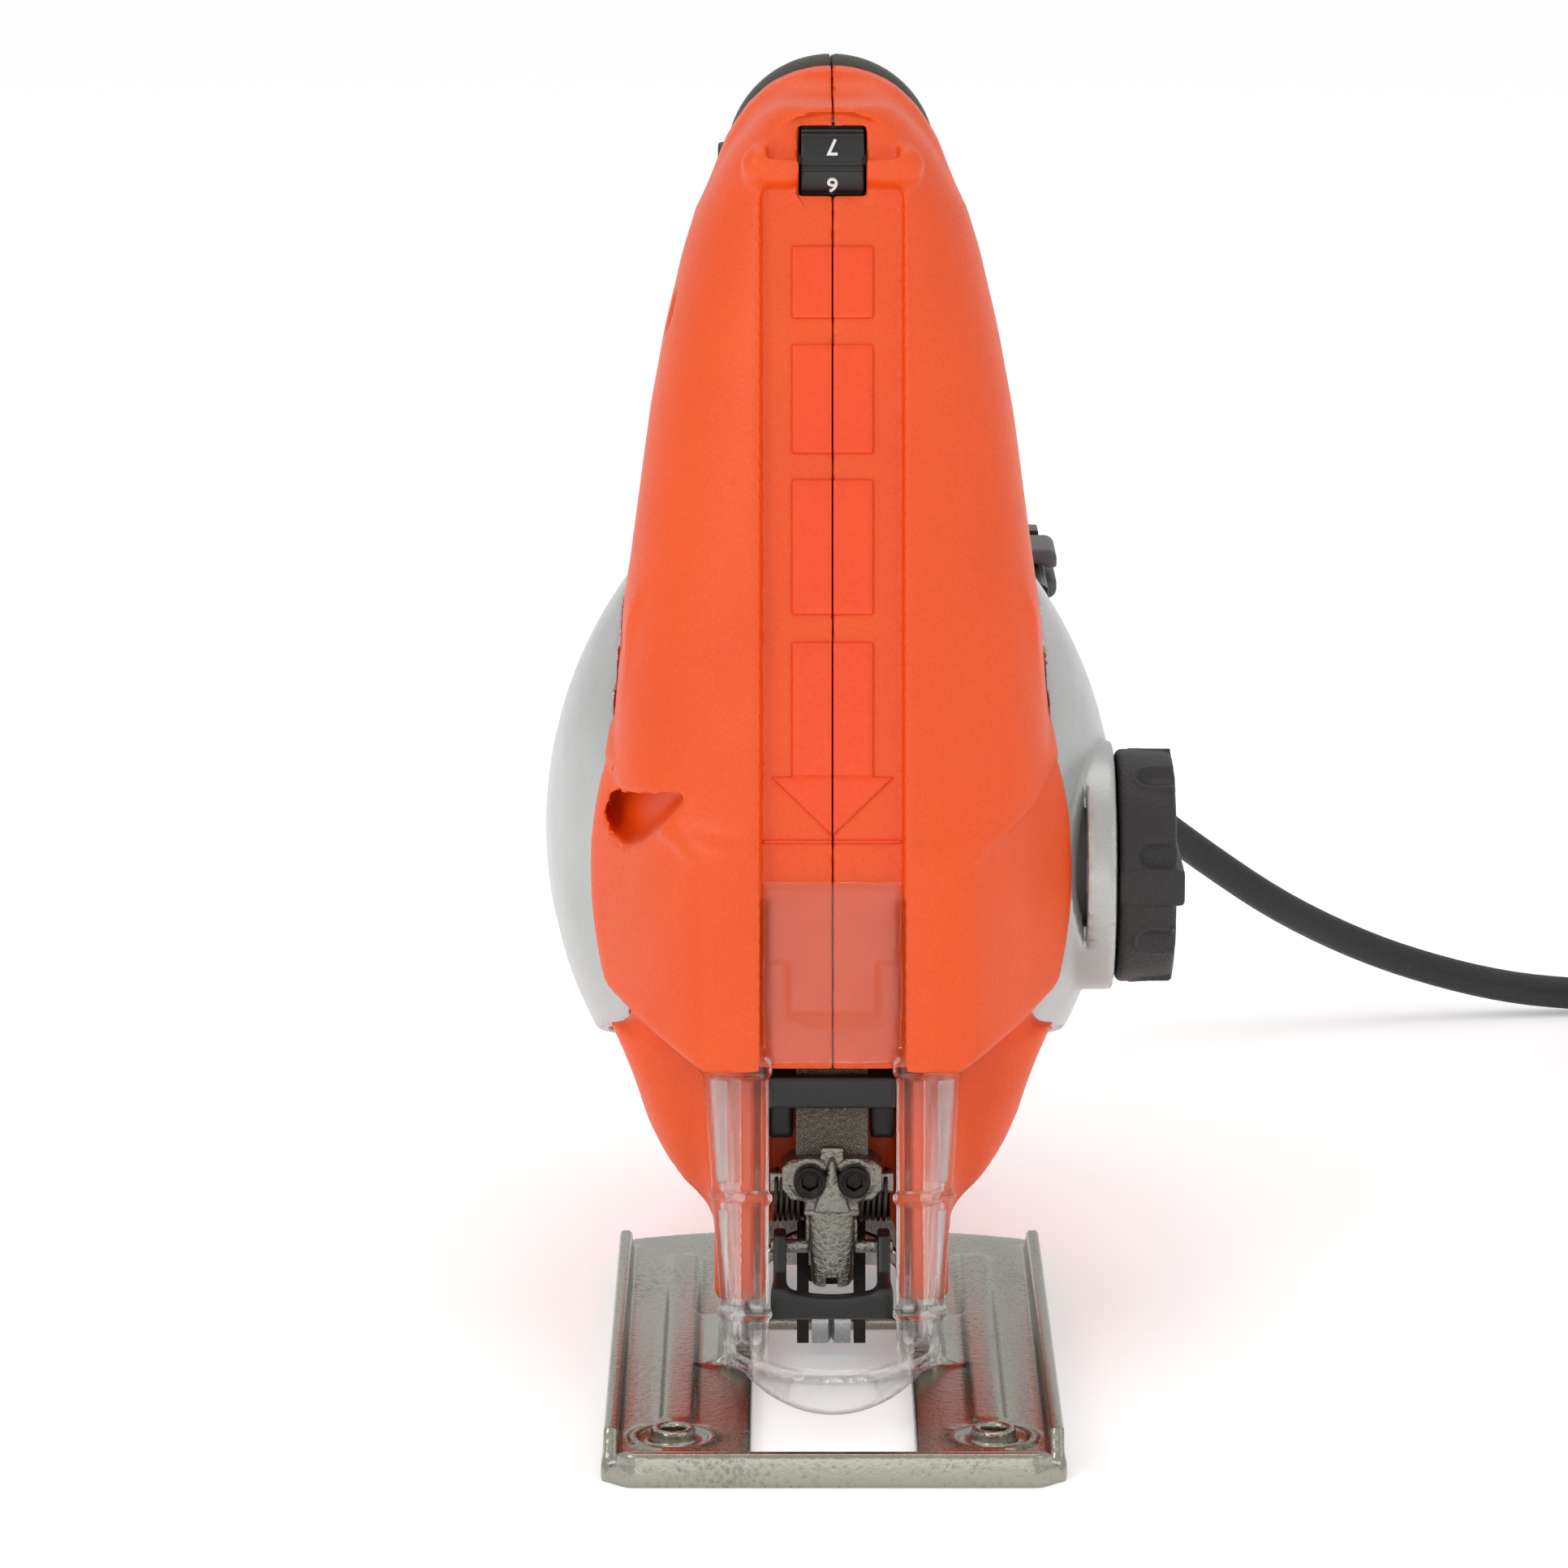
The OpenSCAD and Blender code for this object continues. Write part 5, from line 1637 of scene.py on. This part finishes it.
def main() -> None:
    """Builds the tool on its frame."""
    logging.basicConfig(level=logging.INFO, format="%(message)s")
    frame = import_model()
    studio = Studio()
    studio.camera()
    lead = MainsLead()
    cord = lead.curve()
    shop = Workshop(frame)
    shop.nodes()
    shop.place(cord, CORD, "cord_rubber", "housing", "cord_run", "cord_coil")
    cord_ends = build_cord_ends(shop)
    round(lead.length(), 3)
    LOG.info("cord: %.3f m", lead.length())

    housing = Housing()
    for name, half in housing.build().items():
        shop.place(half, ORANGE, "orange_shell", "housing", name)
    # The channel marks take the deeper orange, which is painted shade of the recessed channel.
    shop.place(housing.marks(), SHADED_CHANNEL_ORANGE, "orange_shell", "housing")
    for name, cover in SideCovers().build(housing).items():
        shop.place(cover, SILVER, "silver_cover", "housing", name)
    for name, rubber in HandleGrip().build(housing).items():
        shop.place(rubber, RUBBER, "soft_grip", "housing", name)
    guard = BladeGuard().build()
    shop.place(guard["blade_guard"], POLYCARBONATE, "clear_guard", "guard", "blade_guard")
    shop.place(guard["guard_windows"], FROSTED, "clear_guard", "guard")
    shop.place(Foot().build(), ZINC, "zinc_plate", "foot", "foot")

    clamp = BladeClamp()
    shop.place(clamp.bar(), GROUND, "ground_steel", "plunger", "plunger")
    shop.place(clamp.block(), CAST, "die_cast", "plunger", "clamp_block")
    shop.place(clamp.holder(), CAST, "die_cast", "plunger", "blade_holder")
    shop.place(clamp.pins(), CAST, "steel", "plunger", "clamp_pins")
    shop.place(clamp.bail(), SMOOTH_BLACK, "black_plastic", "bail", "clamp_bail")
    shop.place(clamp.bush(), SMOOTH_BLACK, "black_plastic", "housing", "lower_bush")
    head = clamp.cap_screw("cap_head", 2.75, 2.9, 1.3)
    heads = repeat("clamp_heads", head, [((x, -4.6, 34.9), (0, 0, 0)) for x in (-3.7, 3.7)],
                   shop.paints.of(OXIDE))
    shop.place(shade(heads), OXIDE, "black_oxide", "plunger", "clamp_screws")
    turned = Matrix.Rotation(math.radians(90), 4, "Y")
    coils = [Matrix.Translation(Vector((x * MM, 0.0008, 0.0308))) @ turned for x in (-9.6, 4.9)]
    shop.place(springs("clamp_coils", coils, 5, 4.3, 4.7, 0.36, shop.paints.of(SPRING)), SPRING,
               "spring_steel",
               "plunger", "clamp_springs")
    upright = [Matrix.Translation(Vector((0, 0.072, 0.187)))]
    shop.place(springs("return_coil", upright, 5, 2.4, 5.2, 0.35, shop.paints.of(SPRING)), SPRING,
               "spring_steel",
               "housing", "trigger_spring")
    side_head = clamp.cap_screw("side_head", 3.3, 2.4, 1.5)
    spots = [((-12.4 + 2.4, y, z), (0, 0, -90)) for y, z in ((6.5, 95), *housing.screw_spots)]
    screws = repeat("housing_heads", side_head, spots, shop.paints.of(OXIDE))
    shop.place(shade(screws), OXIDE, "black_oxide", "housing", "housing_screws")

    shop.place(Selector().build(), BLACK, "black_plastic", "selector", "orbit_knob")
    dial = SpeedDial()
    shop.place(dial.wheel(), SMOOTH_BLACK, "black_plastic", "dial", "speed_dial")
    shop.place(dial.numbers(), WHITE, "black_plastic", "dial")
    fittings = Fittings()
    shop.place(fittings.trigger(), SMOOTH_BLACK, "black_plastic", "trigger", "trigger")
    shop.place(fittings.lock(), SMOOTH_BLACK, "black_plastic", "lock_button", "lock_button")
    shop.place(fittings.clip(), GREY, "grey_plastic", "housing", "key_clip")
    shop.place(fittings.key(), OXIDE, "steel", "housing", "hex_key")
    shop.place(fittings.pipe(), GREY, "grey_plastic", "housing", "dust_port")
    studio.floor()
    studio.lights()


def build_cord_ends(shop: Workshop) -> list[bpy.types.Object]:
    """The strain relief, the tie and the plug with its pins.

    Args:
        shop: Where pieces get their finish.

    Returns:
        The new pieces.
    """
    root, tip = Vector((0, 156, 110.6)), Vector((0, 200, 101))
    long = (tip - root).length
    f = Field((-7.6, -7.6, -3.4), (7.6, 7.6, long + 0.6), 0.35)
    radial = np.sqrt(f.x**2 + f.y**2)
    taper = 6.6 - 2.2 * np.clip(f.z / long, 0, 1)
    rings = 0.45 * np.clip(np.cos(f.z * 2 * math.pi / 4.4) * 4, -1, 1) * ((f.z > 5) & (f.z < long - 3))
    sleeve = both(radial - taper - rings * 0.8, np.abs(f.z - (long - 3) / 2) - (long + 3) / 2, 0.8)
    relief = f.mesh("cord_sleeve", cut(sleeve, radial - 3.0), most=60_000)
    aim = (tip - root).to_track_quat("Z", "Y").to_matrix().to_4x4()
    relief.data.transform(Matrix.Translation(root * MM) @ aim)
    shop.place(relief, SMOOTH_BLACK, "cord_rubber", "housing", "strain_relief")

    f = Field((230.6, 205.8, -0.4), (254.9, 215.2, 21.6), 0.3)
    band = both(box2(f.x, f.z, (242.8, 10.4), (11.3, 10.4), 2.5), np.abs(f.y - 210.5) - 3.8, 0.6)
    band = cut(band, box2(f.x, f.z, (242.8, 10.1), (10.2, 9.4), 2.0) + 0 * f.y, 0.3)
    tie = f.mesh("cord_band", band, most=30_000)
    shop.place(tie, GREY, "grey_plastic", "housing", "cord_tie")

    f = Field((186.4, 161.8, 19), (231.8, 187.2, 37.2), 0.4)
    width = np.interp(f.x, [187, 196, 210, 218], [10.6, 12, 11, 6.4]).astype(np.float32)
    body = both(both(np.abs(f.y - 174.5) - width, np.abs(f.z - 28) - 8.4, 3.5), np.abs(f.x - 202) - 14.8,
                2.0)
    groove = np.sqrt((np.abs(f.y - 174.5) - width - 0.6) ** 2 + ((f.x - 203) % 3.6 - 1.8) ** 2) - 1.2
    body = cut(body, both(groove, np.abs(f.x - 203) - 8), 0.5)
    neck_radius = np.interp(f.x, [214, 231], [4.9, 4.1]).astype(np.float32)
    neck = both(np.sqrt((f.y - 174.5) ** 2 + (f.z - 26.5) ** 2) - neck_radius, np.abs(f.x - 222.8) - 8.2,
                0.6)
    plug = f.mesh("plug_moulding", join(body, neck, 1.5), most=90_000)
    shop.place(plug, SMOOTH_BLACK, "cord_rubber", "housing", "plug_body")

    f = Field((175.4, 161.8, 25.2), (190.6, 187.2, 30.8), 0.25)
    radial = np.sqrt((np.abs(f.y - 174.5) - 9.5) ** 2 + (f.z - 28) ** 2)
    metal = both(radial - 2.2, np.abs(f.x - 183) - 6.8, 1.2)
    pins = f.mesh("plug_prongs", metal, most=20_000)
    shop.place(pins, BRASS, "brass", "housing", "plug_pins")
    return [relief, tie, plug, pins]


if __name__ == "__main__":
    main()
